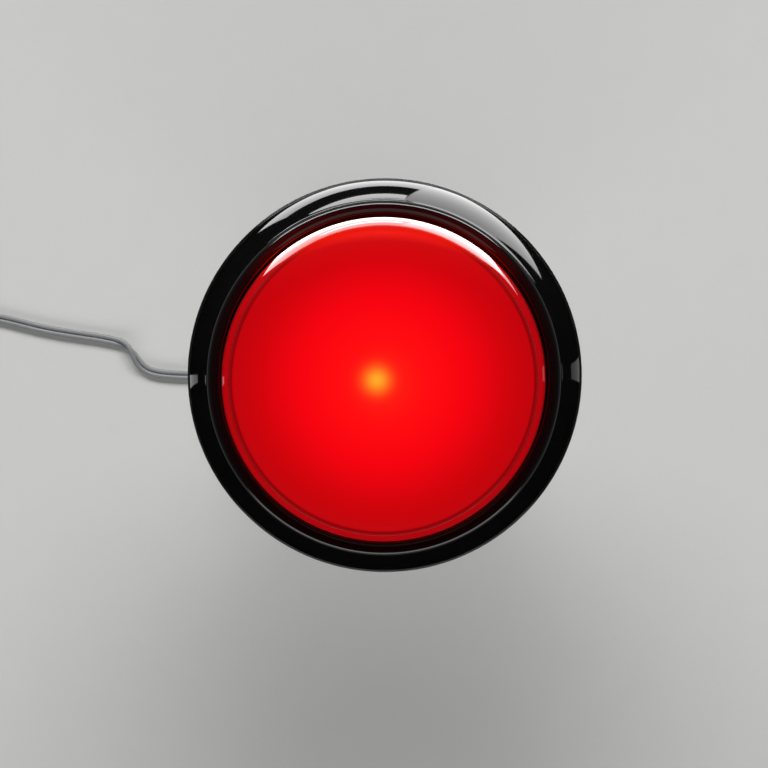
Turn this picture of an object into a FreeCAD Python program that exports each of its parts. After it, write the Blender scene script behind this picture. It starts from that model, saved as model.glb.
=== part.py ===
"""Illuminated dome push button for a panel, with lamp, micro-switch and lamp lead.

Millimetres. The Z axis is the press axis: the dome looks up, and Z = 0 is the bezel's seat on the
panel. The switch lies on the +Y side of the lamp holder, and the lamp lead leaves towards -X.
"""
import FreeCAD
import Part
import Sketcher
import math
import os
from types import SimpleNamespace

V = FreeCAD.Vector
doc = FreeCAD.newDocument("dome_button")

SIZES = {
    # dome
    "dome_radius": 39.8,
    "dome_wall": 2.0,
    "shoulder_height": 23.5,
    "shoulder_width": 2.6,
    "crease_height": 31.0,
    "cap_rise": 7.5,
    "crease_width": 0.9,
    "crease_depth": 0.15,
    "ledge_height": 1.2,
    "ledge_overlap": 0.9,
    "lug_height": 1.4,
    "lug_width": 8.0,
    "lug_count": 6,
    # bezel
    "bezel_gap": 1.2,
    "land_width": 2.0,
    "land_drop": 0.6,
    "lip_chamfer": 0.3,
    "ridge_height": 19.0,
    "ridge_inset": 1.2,
    "ridge_fall": 1.5,
    "ridge_round": 1.8,
    "flank_width": 7.0,
    "flank_bulge": 40.0,
    "rim_height": 1.2,
    "rim_chamfer": 0.25,
    "rim_step": 0.45,
    "shell_wall": 2.4,
    "channel_depth": 12.0,
    "channel_top": 1.2,
    "rib_wall": 1.5,
    "rib_count": 12,
    "well_floor": 3.0,
    "back_recess": 0.8,
    "stop_inner": 14.0,
    "stop_width": 3.0,
    # stem, carrier and spring
    "travel": 4.0,
    "seat_gap": 0.1,
    "skirt_clearance": 1.0,
    "plate_gap": 0.3,
    "plate_thickness": 2.0,
    "plate_rib_start": 19.0,
    "plate_rib_end": 34.0,
    "plate_rib_height": 1.8,
    "plate_rib_wall": 1.4,
    "plate_rib_count": 8,
    "chimney_height": 3.5,
    "tube_wall": 1.7,
    "guide_gap": 0.3,
    "wire_radius": 0.45,
    "spring_gap": 0.45,
    "spring_turns": 4,
    "coil_clearance": 0.05,
    "spring_seat_depth": 12.0,
    "spring_room": 0.25,
    "stem_wall": 1.6,
    "stem_length": 34.0,
    "leg_half_width": 2.5,
    "leg_gap": 0.3,
    "leg_slack": 1.0,
    "hook_drop": 2.0,
    "hook_reach": 1.1,
    "hook_height": 2.0,
    "hook_gap": 0.3,
    "foot_half_width": 1.0,
    "foot_taper": 3.0,
    "short_leg_end": 33.0,
    # nut
    "nut_gap": 0.15,
    "panel_grip": 3.5,
    "nut_flange_width": 7.0,
    "nut_flange_height": 2.0,
    "nut_hex_width": 5.0,
    "nut_height": 8.0,
    "nut_chamfer": 30.0,
    "tooth_height": 0.5,
    "tooth_width": 1.0,
    "tooth_inset": 0.8,
    "tooth_count": 24,
    # lamp holder and lamp
    "lamp_bore": 5.3,
    "lamp_tube_wall": 1.0,
    "lamp_tube_gap": 0.6,
    "lamp_tube_top": 6.0,
    "plug_height": 3.0,
    "plug_gap": 0.2,
    "flange_inset": 0.2,
    "flange_thickness": 2.5,
    "bayonet_reach": 1.5,
    "bayonet_half_width": 1.5,
    "bayonet_height": 2.4,
    "bayonet_gap": 0.2,
    "block_reach": 9.0,
    "block_round": 2.2,
    "gusset_wall": 1.6,
    "gusset_offset": 5.5,
    "gusset_height": 7.0,
    "gusset_reach": 3.6,
    "block_back": 6.3,
    "block_wall": 1.1,
    "block_depth": 21.5,
    "cavity_half_length": 5.2,
    "cavity_half_width": 2.2,
    "cavity_floor": 2.0,
    "wedge_half_length": 4.75,
    "wedge_half_width": 1.05,
    "wedge_length": 11.0,
    "lamp_body_radius": 5.0,
    "lamp_body_height": 7.0,
    "collar_radius": 5.9,
    "collar_height": 1.2,
    "led_radius": 4.0,
    "led_height": 5.0,
    "led_flange": 0.5,
    "lead_wire_radius": 0.25,
    "lead_wire_offset": 2.5,
    # lamp contacts
    "strip_gap": 0.05,
    "strip_thickness": 0.5,
    "strip_width": 4.0,
    "strip_inset": 0.5,
    "strip_top": 10.0,
    "tab_width": 4.8,
    "tab_reach": 8.5,
    "upper_tab_drop": 7.5,
    "tab_pitch": 8.0,
    "tab_gap": 0.1,
    "tip_taper": 0.9,
    "tab_hole": 0.7,
    "tab_hole_inset": 3.0,
    # switch
    "case_length": 27.8,
    "case_width": 10.3,
    "case_height": 15.9,
    "case_wall": 1.2,
    "case_round": 0.8,
    "case_gap": 0.15,
    "case_overhang": 3.0,
    "peg_radius": 1.4,
    "peg_gap": 0.15,
    "peg_inset": 2.8,
    "peg_margin": 1.6,
    "peg_height": 2.9,
    "peg_boss": 1.1,
    "hinge_offset": 14.0,
    "hinge_height": 2.6,
    "lever_length": 17.5,
    "lever_width": 4.6,
    "lever_thickness": 0.4,
    "lever_angle": 10.0,
    "lever_gap": 0.5,
    "foot_gap": 0.35,
    "knuckle_radius": 1.0,
    "pin_radius": 0.5,
    "pin_gap": 0.1,
    "ear_wall": 1.0,
    "ear_gap": 0.3,
    "button_offset": 4.9,
    "button_radius": 1.6,
    "button_gap": 0.45,
    "button_flange": 1.0,
    "button_round": 0.5,
    "blade_thickness": 0.3,
    "blade_width": 3.6,
    "switch_tab_thickness": 0.6,
    "switch_tab_reach": 7.5,
    "common_offset": 1.2,
    "common_drop": 7.26,
    "blade_bow": 2.0,
    "contact_depth": 2.4,
    "contact_spacing": 4.0,
    "contact_radius": 1.2,
    # push-on receptacles of the lead
    "sleeve_start": 2.4,
    "receptacle_length": 7.5,
    "receptacle_wall": 0.4,
    "barrel_length": 5.0,
    "sleeve_wall": 0.7,
    "sleeve_gap": 0.1,
    "sleeve_tail": 3.0,
    # lead
    "strand_radius": 0.65,
    "coil_radius": 14.3,
    "coil_x": -130.0,
    "coil_y": -0.6,
    "tie_thickness": 0.6,
    "tie_width": 4.0,
    "tie_gap": 0.25,
    "plug_length": 12.0,
    "plug_width": 7.0,
    "plug_thickness": 5.0,
    "plug_chamfer": 0.7,
    "pin_length": 5.0,
    "pin_pitch": 2.5,
}


class Size:
    """A length with its number and the sheet formula that gives it."""

    def __init__(self, value, formula):
        self.value = value
        self.formula = formula

    def __add__(self, other):
        other = as_size(other)
        return Size(self.value + other.value, f"({self.formula} + {other.formula})")

    def __sub__(self, other):
        other = as_size(other)
        return Size(self.value - other.value, f"({self.formula} - {other.formula})")

    def __rsub__(self, other):
        return as_size(other) - self

    def __mul__(self, other):
        other = as_size(other)
        return Size(self.value * other.value, f"({self.formula} * {other.formula})")

    def __truediv__(self, other):
        other = as_size(other)
        return Size(self.value / other.value, f"({self.formula} / {other.formula})")

    def __neg__(self):
        return Size(-self.value, f"(0 - {self.formula})")

    def tan(self):
        """Tangent of an angle given in degrees."""
        return Size(math.tan(math.radians(self.value)), f"tan({self.formula} * 1 deg)")

    def sin(self):
        """Sine of an angle given in degrees."""
        return Size(math.sin(math.radians(self.value)), f"sin({self.formula} * 1 deg)")

    def sqrt(self):
        """Square root."""
        return Size(math.sqrt(self.value), f"sqrt({self.formula})")

    __radd__ = __add__
    __rmul__ = __mul__


def as_size(number):
    """A Size as it is, or a plain number as a Size."""
    if isinstance(number, Size):
        return number
    return Size(float(number), repr(float(number)))


def make_sheet():
    """Write the driving dimensions to the sheet and return them as Sizes by name."""
    sheet = doc.addObject("Spreadsheet::Sheet", "sizes")
    for row, (alias, number) in enumerate(SIZES.items(), start=1):
        sheet.set(f"A{row}", alias)
        sheet.set(f"B{row}", str(number))
        sheet.setAlias(f"B{row}", alias)
    doc.recompute()
    return SimpleNamespace(
        **{alias: Size(float(sheet.get(alias)), f"sizes.{alias}") for alias in SIZES}
    )


d = make_sheet()


def bind(item, **sizes):
    """Bind properties of a document object to formulas."""
    for name, length in sizes.items():
        item.setExpression(name, as_size(length).formula)


def place(item, x=0, y=0, z=0, rotation=None):
    """Turn an object, then bind its position to formulas."""
    if rotation:
        item.Placement = FreeCAD.Placement(V(), rotation)
    for axis, length in zip("xyz", (x, y, z)):
        item.setExpression(f"Placement.Base.{axis}", as_size(length).formula)


TOWARDS_Y = FreeCAD.Rotation(V(1, 0, 0), -90)
TOWARDS_MINUS_X = FreeCAD.Rotation(V(0, 1, 0), -90)


def add_box(name, low, high):
    """A box between two corners."""
    box = doc.addObject("Part::Box", name)
    spans = [as_size(b) - as_size(a) for a, b in zip(low, high)]
    bind(box, Length=spans[0], Width=spans[1], Height=spans[2])
    place(box, *low)
    return box


def add_cylinder(name, radius, length, at=(0, 0, 0), rotation=None):
    """A cylinder that starts at a point and runs along Z, or along Z turned by the rotation."""
    cylinder = doc.addObject("Part::Cylinder", name)
    bind(cylinder, Radius=radius, Height=length)
    place(cylinder, *at, rotation=rotation)
    return cylinder


def fuse(name, shapes):
    """One solid of several."""
    joined = doc.addObject("Part::MultiFuse", name)
    joined.Shapes = shapes
    joined.Refine = True
    return joined


def cut(name, base, tools):
    """The base with the tools taken out."""
    tool = tools[0] if len(tools) == 1 else fuse(f"{name}_tools", tools)
    rest = doc.addObject("Part::Cut", name)
    rest.Base = base
    rest.Tool = tool
    rest.Refine = True
    return rest


def start_body(name):
    """An empty body and its origin features by role."""
    body = doc.addObject("PartDesign::Body", name)
    return body, {feature.Role: feature for feature in body.Origin.OriginFeatures}


def arc_between(a, b, radius, side):
    """An arc from a to b whose centre is on the left (1) or right (-1) of the way there."""
    chord = b - a
    half = chord.Length / 2
    left = V(-chord.y, chord.x, 0).normalize()
    centre = (a + b) / 2 + left * side * math.sqrt(radius**2 - half**2)
    first, last = (a, b) if side > 0 else (b, a)
    angles = [math.atan2(p.y - centre.y, p.x - centre.x) for p in (first, last)]
    return Part.ArcOfCircle(Part.Circle(centre, V(0, 0, 1), radius), *angles)


def draw(body, plane, name, loops, height=None):
    """A sketch of closed outlines, with every corner bound to its formulas.

    A loop is a list of corners (x, y) or (x, y, radius, side): with a radius, the way from that
    corner to the next is an arc.
    """
    sketch = body.newObject("Sketcher::SketchObject", name)
    sketch.AttachmentSupport = [(plane, "")]
    sketch.MapMode = "FlatFace"
    if height is not None:
        sketch.setExpression("AttachmentOffset.Base.z", as_size(height).formula)
    for loop in loops:
        draw_loop(sketch, loop)
    return sketch


def draw_loop(sketch, loop):
    """Add one closed outline to a sketch."""
    points = [V(as_size(c[0]).value, as_size(c[1]).value, 0) for c in loop]
    ends = []
    for i, corner in enumerate(loop):
        start, stop = points[i], points[(i + 1) % len(loop)]
        if len(corner) == 2:
            index = sketch.addGeometry(Part.LineSegment(start, stop))
            ends.append((index, 1, 2))
        else:
            radius, side = as_size(corner[2]), corner[3]
            index = sketch.addGeometry(arc_between(start, stop, radius.value, side))
            ends.append((index, 1, 2) if side > 0 else (index, 2, 1))
    for (index, _, last), (following, first, _) in zip(ends, ends[1:] + ends[:1]):
        sketch.addConstraint(Sketcher.Constraint("Coincident", index, last, following, first))
    for corner, point, (index, first, _) in zip(loop, points, ends):
        hold(sketch, "DistanceX", (index, first), corner[0], point.x)
        hold(sketch, "DistanceY", (index, first), corner[1], point.y)
        if len(corner) > 2:
            hold(sketch, "Radius", (index,), corner[2], as_size(corner[2]).value)


def hold(sketch, kind, where, length, value):
    """Add one dimension to a sketch and bind it."""
    number = sketch.addConstraint(Sketcher.Constraint(kind, *where, value))
    sketch.setExpression(f"Constraints[{number}]", as_size(length).formula)


def revolve(body, sketch, name):
    """Turn a sketch once round its vertical axis."""
    turned = body.newObject("PartDesign::Revolution", name)
    turned.Profile = sketch
    turned.ReferenceAxis = (sketch, ["V_Axis"])
    turned.Angle = 360
    return turned


def pad(body, sketch, name, length, both_sides=False):
    """Raise a sketch, along its normal or to both sides."""
    raised = body.newObject("PartDesign::Pad", name)
    raised.Profile = sketch
    raised.SideType = "Symmetric" if both_sides else "One side"
    bind(raised, Length=length)
    return raised


def pocket_through(body, sketch, name):
    """Cut a sketch through everything on both sides, and see that it cuts."""
    doc.recompute()
    before = body.Shape.Volume
    cutter = body.newObject("PartDesign::Pocket", name)
    cutter.Profile = sketch
    cutter.SideType = "Symmetric"
    cutter.Type = "ThroughAll"
    doc.recompute()
    if body.Shape.Volume >= before:
        raise RuntimeError(f"{name} cuts nothing")
    return cutter


def polar(body, axis, feature, name, count):
    """Repeat a feature evenly round an axis."""
    pattern = body.newObject("PartDesign::PolarPattern", name)
    pattern.Originals = [feature]
    pattern.Axis = (axis, [""])
    pattern.Angle = 360
    bind(pattern, Occurrences=count)
    body.Tip = pattern
    return pattern


# radii, from the lamp outwards
lamp_tube_radius = d.lamp_bore + d.lamp_tube_wall
tube_bore = lamp_tube_radius + d.lamp_tube_gap
tube_radius = tube_bore + d.tube_wall
guide_bore = tube_radius + d.guide_gap
hook_radius = tube_radius + d.hook_reach
lower_bore = hook_radius + d.hook_gap
spring_mean = tube_radius + d.spring_gap + d.wire_radius
spring_bore = spring_mean + d.wire_radius + d.spring_room
stem_radius = spring_bore + d.stem_wall
bezel_bore = d.dome_radius + d.bezel_gap
ridge_radius = bezel_bore + d.land_width
bezel_radius = ridge_radius + d.flank_width
crease_radius = d.dome_radius - d.shoulder_width
dome_bore = d.dome_radius - d.dome_wall
plate_radius = dome_bore - d.plate_gap

# heights, from the well's floor upwards
skirt_bottom = d.well_floor + d.travel + d.skirt_clearance
plate_bottom = skirt_bottom + d.lug_height + d.seat_gap
plate_top = plate_bottom + d.plate_thickness
ledge_bottom = plate_top + d.seat_gap
stop_top = plate_bottom - d.travel - d.seat_gap
cap_edge_radius = crease_radius - d.crease_width / 2
apex = d.crease_height + d.cap_rise

# heights, from the stem's end downwards
stem_end = -d.stem_length
plug_top = stem_end + d.plug_height
tube_end = plug_top + d.travel + d.leg_slack
hook_ledge = tube_end - d.hook_drop
flange_bottom = stem_end - d.flange_thickness
block_bottom = flange_bottom - d.block_depth
block_front = d.cavity_half_width + d.block_wall

# switch, on the front of the lamp holder's block
case_back = block_front + d.case_gap
case_front = case_back + d.case_width
switch_y = case_back + d.case_width / 2
hinge_z = flange_bottom - d.lever_gap - d.lever_length * d.lever_angle.sin() - d.lever_thickness
case_top = hinge_z - d.hinge_height
case_bottom = case_top - d.case_height
case_right = d.hinge_offset + d.case_overhang
case_left = case_right - d.case_length
lever_half = d.lever_thickness / 2
foot_end = hinge_z + d.hinge_offset * d.lever_angle.tan() + lever_half + d.foot_gap
button_x = d.hinge_offset - d.button_offset
button_top = hinge_z + d.button_offset * d.lever_angle.tan() - lever_half - d.button_gap
floor_z = case_bottom - d.common_drop
peg_z = case_bottom + d.peg_height
peg_xs = {"left": case_left + d.peg_inset, "right": case_right - d.peg_inset}
block_left = peg_xs["left"] - d.peg_margin

# lamp tabs
strip_inner = d.wedge_half_width + d.lead_wire_radius * 2 + d.strip_gap
strip_outer = strip_inner + d.strip_thickness
tab_y = strip_inner + d.strip_thickness / 2
tab_end = block_left - d.tab_reach
tab_zs = {"upper": flange_bottom - d.upper_tab_drop}
tab_zs["lower"] = tab_zs["upper"] - d.tab_pitch


def make_bezel_housing():
    """Bezel dish, well and stem in one moulding, hollow and ribbed behind."""
    body, origin = start_body("bezel_housing")
    flank_radius = bezel_radius - d.rim_step
    flank_top = (ridge_radius + d.ridge_inset, d.ridge_height - d.ridge_fall)
    land_end = d.ridge_height - d.land_drop
    outline = [
        (lower_bore, stem_end),
        (stem_radius, stem_end),
        (stem_radius, d.back_recess),
        (ridge_radius, d.back_recess),
        (ridge_radius, d.channel_depth),
        (ridge_radius + d.channel_top, d.channel_depth),
        (bezel_radius - d.shell_wall, 0),
        (bezel_radius, 0),
        (bezel_radius, d.rim_height - d.rim_chamfer),
        (bezel_radius - d.rim_chamfer, d.rim_height),
        (flank_radius, d.rim_height, d.flank_bulge, 1),
        (*flank_top, d.ridge_round, 1),
        (ridge_radius, d.ridge_height),
        (bezel_bore + d.lip_chamfer, land_end),
        (bezel_bore, land_end - d.lip_chamfer),
        (bezel_bore, d.well_floor),
        (d.stop_inner + d.stop_width, d.well_floor),
        (d.stop_inner + d.stop_width, stop_top),
        (d.stop_inner, stop_top),
        (d.stop_inner, d.well_floor),
        (spring_bore, d.well_floor),
        (spring_bore, -d.spring_seat_depth),
        (guide_bore, -d.spring_seat_depth),
        (guide_bore, hook_ledge),
        (lower_bore, hook_ledge),
    ]
    revolve(body, draw(body, origin["XZ_Plane"], "bezel_profile", [outline]), "bezel_turned")
    half_wall = d.shell_wall / 2
    rib = [
        (ridge_radius - half_wall, d.back_recess),
        (bezel_radius - half_wall, d.back_recess),
        (ridge_radius + d.channel_top + half_wall, d.channel_depth + half_wall),
        (ridge_radius - half_wall, d.channel_depth + half_wall),
    ]
    rib_sketch = draw(body, origin["XZ_Plane"], "channel_rib_profile", [rib])
    rib_pad = pad(body, rib_sketch, "channel_rib", d.rib_wall, both_sides=True)
    polar(body, origin["Z_Axis"], rib_pad, "channel_ribs", d.rib_count)
    slot_half = d.bayonet_half_width + d.bayonet_gap
    slot_top = stem_end + d.bayonet_height + 2 * d.bayonet_gap
    slot = [
        (-slot_half, stem_end - d.bayonet_gap),
        (slot_half, stem_end - d.bayonet_gap),
        (slot_half, slot_top),
        (-slot_half, slot_top),
    ]
    slot_sketch = draw(body, origin["YZ_Plane"], "bayonet_slot_profile", [slot])
    pocket_through(body, slot_sketch, "bayonet_slots")
    return body


def make_dome_lens():
    """Dome with skirt, steep shoulder, crease ring and shallow cap, and lugs that hold the plate."""
    body, origin = start_body("dome_lens")
    half_crease = d.crease_width / 2
    rise = d.crease_height - d.shoulder_height
    shoulder_in = d.shoulder_width - half_crease
    shoulder_round = (shoulder_in * shoulder_in + rise * rise) / (2 * shoulder_in)
    cap_round = (cap_edge_radius * cap_edge_radius + d.cap_rise * d.cap_rise) / (2 * d.cap_rise)
    ledge_bore = plate_radius - d.ledge_overlap
    ledge_top = ledge_bottom + d.ledge_height
    inner_edge = cap_edge_radius - d.dome_wall
    inner_apex = apex - d.dome_wall
    inner_rise = d.cap_rise
    inner_round = (inner_edge * inner_edge + inner_rise * inner_rise) / (2 * inner_rise)
    outline = [
        (dome_bore, skirt_bottom),
        (d.dome_radius, skirt_bottom),
        (d.dome_radius, d.shoulder_height, shoulder_round, 1),
        (crease_radius + half_crease, d.crease_height),
        (crease_radius, d.crease_height - d.crease_depth),
        (cap_edge_radius, d.crease_height, cap_round, 1),
        (0, apex),
        (0, inner_apex, inner_round, -1),
        (inner_edge, inner_apex - inner_rise),
        (dome_bore, d.shoulder_height),
        (dome_bore, ledge_top + d.ledge_overlap),
        (ledge_bore, ledge_top),
        (ledge_bore, ledge_bottom),
        (dome_bore, ledge_bottom),
    ]
    revolve(body, draw(body, origin["XZ_Plane"], "dome_profile", [outline]), "dome_turned")
    half_lug = d.lug_width / 2
    lug_outer = d.dome_radius - d.dome_wall / 2
    lug = [
        (ledge_bore, -half_lug),
        (lug_outer, -half_lug),
        (lug_outer, half_lug),
        (ledge_bore, half_lug),
    ]
    lug_sketch = draw(body, origin["XY_Plane"], "lug_profile", [lug], height=skirt_bottom)
    lug_pad = pad(body, lug_sketch, "lug", d.lug_height)
    polar(body, origin["Z_Axis"], lug_pad, "lugs", d.lug_count)
    return body


def make_plunger_plate():
    """Carrier under the dome: ribbed plate, guide tube, two hooked legs, the front one with a foot."""
    body, origin = start_body("plunger_plate")
    hook_top = hook_ledge - d.seat_gap
    hook_bottom = hook_top - d.hook_height
    outline = [
        (tube_bore, foot_end),
        (tube_radius, foot_end),
        (tube_radius, hook_bottom),
        (hook_radius, hook_top - d.hook_height / 4),
        (hook_radius, hook_top),
        (tube_radius, hook_top),
        (tube_radius, plate_bottom),
        (plate_radius, plate_bottom),
        (plate_radius, plate_top),
        (tube_radius, plate_top),
        (tube_radius, plate_top + d.chimney_height),
        (tube_bore, plate_top + d.chimney_height),
    ]
    revolve(body, draw(body, origin["XZ_Plane"], "carrier_profile", [outline]), "carrier_turned")
    sides = []
    for side in (-1, 1):
        outer = hook_radius + d.hook_reach
        corners = [
            (d.leg_half_width * side, tube_end),
            (d.leg_half_width * side, foot_end + d.foot_taper),
            (d.foot_half_width * side, foot_end),
            (d.foot_half_width * side, foot_end - d.foot_taper),
            (outer * side, foot_end - d.foot_taper),
            (outer * side, tube_end),
        ]
        sides.append(corners)
    pocket_through(body, draw(body, origin["XZ_Plane"], "leg_sides", sides), "leg_cuts")
    short_end = -d.short_leg_end
    rear = [
        (-hook_radius - d.hook_reach, foot_end - d.foot_taper),
        (-d.hook_reach, foot_end - d.foot_taper),
        (-d.hook_reach, short_end),
        (-hook_radius - d.hook_reach, short_end),
    ]
    pocket_through(body, draw(body, origin["YZ_Plane"], "rear_leg_end", [rear]), "rear_leg_cut")
    rib = [
        (d.plate_rib_start, plate_bottom - d.plate_rib_height),
        (d.plate_rib_end, plate_bottom - d.plate_rib_height),
        (d.plate_rib_end, plate_bottom + d.plate_thickness / 2),
        (d.plate_rib_start, plate_bottom + d.plate_thickness / 2),
    ]
    rib_sketch = draw(body, origin["XZ_Plane"], "plate_rib_profile", [rib])
    rib_pad = pad(body, rib_sketch, "plate_rib", d.plate_rib_wall, both_sides=True)
    polar(body, origin["Z_Axis"], rib_pad, "plate_ribs", d.plate_rib_count)
    return body


def make_return_spring():
    """Compression spring with closed ends, made of half turns that are each tilted by their rise."""
    low = d.seat_gap / 2 + d.wire_radius - d.spring_seat_depth
    high = plate_bottom - d.seat_gap / 2 - d.wire_radius
    closed_rise = d.wire_radius + d.coil_clearance / 2
    open_halves = 2 * round(d.spring_turns.value)
    open_rise = (high - low - closed_rise * 4) / open_halves
    halves = []
    for i, rise in enumerate([closed_rise] * 2 + [open_rise] * open_halves + [closed_rise] * 2):
        half_turn = doc.addObject("Part::Torus", f"spring_half_turn_{i}")
        bind(half_turn, Radius1=(spring_mean * spring_mean + rise * rise / 4).sqrt(), Radius2=d.wire_radius)
        half_turn.Angle3 = 180
        tilt = math.degrees(math.atan2(rise.value / 2, spring_mean.value))
        side = FreeCAD.Rotation(V(0, 0, 1), 180 * (i % 2))
        place(half_turn, z=low + rise / 2, rotation=side * FreeCAD.Rotation(V(0, 1, 0), tilt))
        low = low + rise
        halves.append(half_turn)
    return fuse("return_spring", halves)


def make_panel_nut():
    """Flanged hexagon nut on the stem, a panel's thickness below the seat."""
    body, origin = start_body("panel_nut")
    nut_bore = stem_radius + d.nut_gap
    flange_radius = nut_bore + d.nut_flange_width
    hex_flat = nut_bore + d.nut_hex_width
    nut_top = -d.panel_grip
    flange_low = nut_top - d.nut_flange_height
    flange_top = nut_top - d.tooth_height
    ring = [
        (nut_bore, flange_low),
        (flange_radius, flange_low),
        (flange_radius, flange_top),
        (nut_bore, flange_top),
    ]
    revolve(body, draw(body, origin["XZ_Plane"], "nut_flange_profile", [ring]), "nut_flange")
    corner = hex_flat / math.cos(math.radians(30))
    steps = [math.radians(60 * i) for i in range(6)]
    hexagon = [(corner * math.cos(a), corner * math.sin(a)) for a in steps]
    hex_sketch = draw(body, origin["XY_Plane"], "nut_hexagon", [hexagon], height=nut_top - d.nut_height)
    pad(body, hex_sketch, "nut_hex", d.nut_height - d.nut_flange_height / 2)
    tooth = [
        (hex_flat, flange_low + d.nut_flange_height / 2),
        (flange_radius - d.tooth_inset, flange_low + d.nut_flange_height / 2),
        (flange_radius - d.tooth_inset, flange_top),
        (hex_flat + d.tooth_inset, nut_top),
        (hex_flat, nut_top),
    ]
    tooth_sketch = draw(body, origin["XZ_Plane"], "nut_tooth_profile", [tooth])
    tooth_pad = pad(body, tooth_sketch, "nut_tooth", d.tooth_width, both_sides=True)
    polar(body, origin["Z_Axis"], tooth_pad, "nut_teeth", d.tooth_count)
    nut_low = nut_top - d.nut_height
    bore = [(0, nut_low), (nut_bore, nut_low), (nut_bore, nut_top), (0, nut_top)]
    outside = corner + d.tooth_inset
    chamfer_top = nut_low + (outside - hex_flat) * d.nut_chamfer.tan()
    chamfer = [(hex_flat, nut_low), (outside, nut_low), (outside, chamfer_top)]
    groove = body.newObject("PartDesign::Groove", "nut_bore")
    groove.Profile = draw(body, origin["XZ_Plane"], "nut_bore_profile", [bore, chamfer])
    groove.ReferenceAxis = (groove.Profile[0], ["V_Axis"])
    groove.Angle = 360
    return body


def make_holder_block():
    """Contact block under the flange, rounded behind, with two gussets up to the flange."""
    body, origin = start_body("holder_block")
    back, turn = -d.block_back, d.block_round
    outline = [
        (block_left, block_front),
        (block_left, back + turn, turn, 1),
        (block_left + turn, back),
        (d.block_reach - turn, back, turn, 1),
        (d.block_reach, back + turn),
        (d.block_reach, block_front),
    ]
    sketch = draw(body, origin["XY_Plane"], "holder_block_outline", [outline], height=block_bottom)
    pad(body, sketch, "holder_block_pad", d.block_depth)
    gusset = [
        (back - d.gusset_reach, flange_bottom),
        (back, flange_bottom - d.gusset_height),
        (back + turn, flange_bottom - d.gusset_height),
        (back + turn, flange_bottom),
    ]
    for side, x in (("left", -d.gusset_offset), ("right", d.gusset_offset)):
        sketch = draw(body, origin["YZ_Plane"], f"gusset_outline_{side}", [gusset], height=x)
        pad(body, sketch, f"gusset_{side}", d.gusset_wall, both_sides=True)
    return body


def make_lamp_holder():
    """Bayonet holder: flange and plug in the stem's end, lamp tube, contact block and switch pegs."""
    plug_radius = lower_bore - d.plug_gap
    flange_radius = stem_radius - d.flange_inset
    lug_reach = plug_radius + d.bayonet_reach
    lug_low = stem_end + d.bayonet_gap
    solids = [
        add_cylinder("holder_flange", flange_radius, d.flange_thickness, (0, 0, flange_bottom)),
        add_cylinder("holder_plug", plug_radius, d.plug_height, (0, 0, stem_end)),
        add_box(
            "holder_bayonet",
            (-lug_reach, -d.bayonet_half_width, lug_low),
            (lug_reach, d.bayonet_half_width, lug_low + d.bayonet_height),
        ),
        add_cylinder("holder_tube", lamp_tube_radius, d.stem_length - d.lamp_tube_top, (0, 0, stem_end)),
        make_holder_block(),
        add_box(
            "holder_web",
            (d.block_reach, d.cavity_half_width, block_bottom),
            (case_right, block_front, case_top - d.case_wall),
        ),
    ]
    peg_length = d.case_gap + d.case_width + d.case_wall
    for side, x in peg_xs.items():
        at = (x, block_front, peg_z)
        solids.append(add_cylinder(f"holder_peg_{side}", d.peg_radius, peg_length, at, TOWARDS_Y))
    slot_half = d.leg_half_width + d.leg_gap
    leg_corner = (tube_bore * tube_bore - d.leg_half_width * d.leg_half_width).sqrt()
    slot_inner = leg_corner - d.leg_gap
    slot_outer = lower_bore + d.leg_gap
    tools = [
        add_cylinder("holder_bore", d.lamp_bore, d.stem_length, (0, 0, flange_bottom)),
        add_box(
            "holder_cavity",
            (-d.cavity_half_length, -d.cavity_half_width, block_bottom + d.cavity_floor),
            (d.cavity_half_length, d.cavity_half_width, flange_bottom + d.leg_gap),
        ),
        add_box(
            "leg_slot_front",
            (-slot_half, slot_inner, flange_bottom),
            (slot_half, slot_outer, plug_top),
        ),
        add_box(
            "leg_slot_rear",
            (-slot_half, -slot_outer, flange_bottom),
            (slot_half, -slot_inner, plug_top),
        ),
    ]
    half_tab = d.tab_width / 2 + d.tab_gap
    half_thick = d.strip_thickness / 2 + d.tab_gap / 2
    for side, sign in (("upper", 1), ("lower", -1)):
        low = (block_left, tab_y * sign - half_thick, tab_zs[side] - half_tab)
        high = (-d.cavity_half_length, tab_y * sign + half_thick, tab_zs[side] + half_tab)
        tools.append(add_box(f"tab_window_{side}", low, high))
    return cut("lamp_holder", fuse("holder_solid", solids), tools)


def make_lamp_base():
    """Round body with a collar, and the flat wedge below it."""
    top = d.lamp_body_height - d.lamp_tube_top
    outline = [
        (0, -d.lamp_tube_top - d.collar_height * 2),
        (d.lamp_body_radius, -d.lamp_tube_top - d.collar_height * 2),
        (d.lamp_body_radius, -d.lamp_tube_top),
        (d.collar_radius, -d.lamp_tube_top),
        (d.collar_radius, d.collar_height - d.lamp_tube_top),
        (d.lamp_body_radius, d.collar_height - d.lamp_tube_top),
        (d.lamp_body_radius, top),
        (0, top),
    ]
    body, origin = start_body("lamp_base")
    revolve(body, draw(body, origin["XZ_Plane"], "lamp_profile", [outline]), "lamp_turned")
    wedge = [
        (-d.wedge_half_length, -d.wedge_half_width),
        (d.wedge_half_length, -d.wedge_half_width),
        (d.wedge_half_length, d.wedge_half_width),
        (-d.wedge_half_length, d.wedge_half_width),
    ]
    wedge_low = -d.lamp_tube_top - d.collar_height - d.wedge_length
    wedge_sketch = draw(body, origin["XY_Plane"], "wedge_profile", [wedge], height=wedge_low)
    pad(body, wedge_sketch, "wedge", d.wedge_length)
    return body


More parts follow.
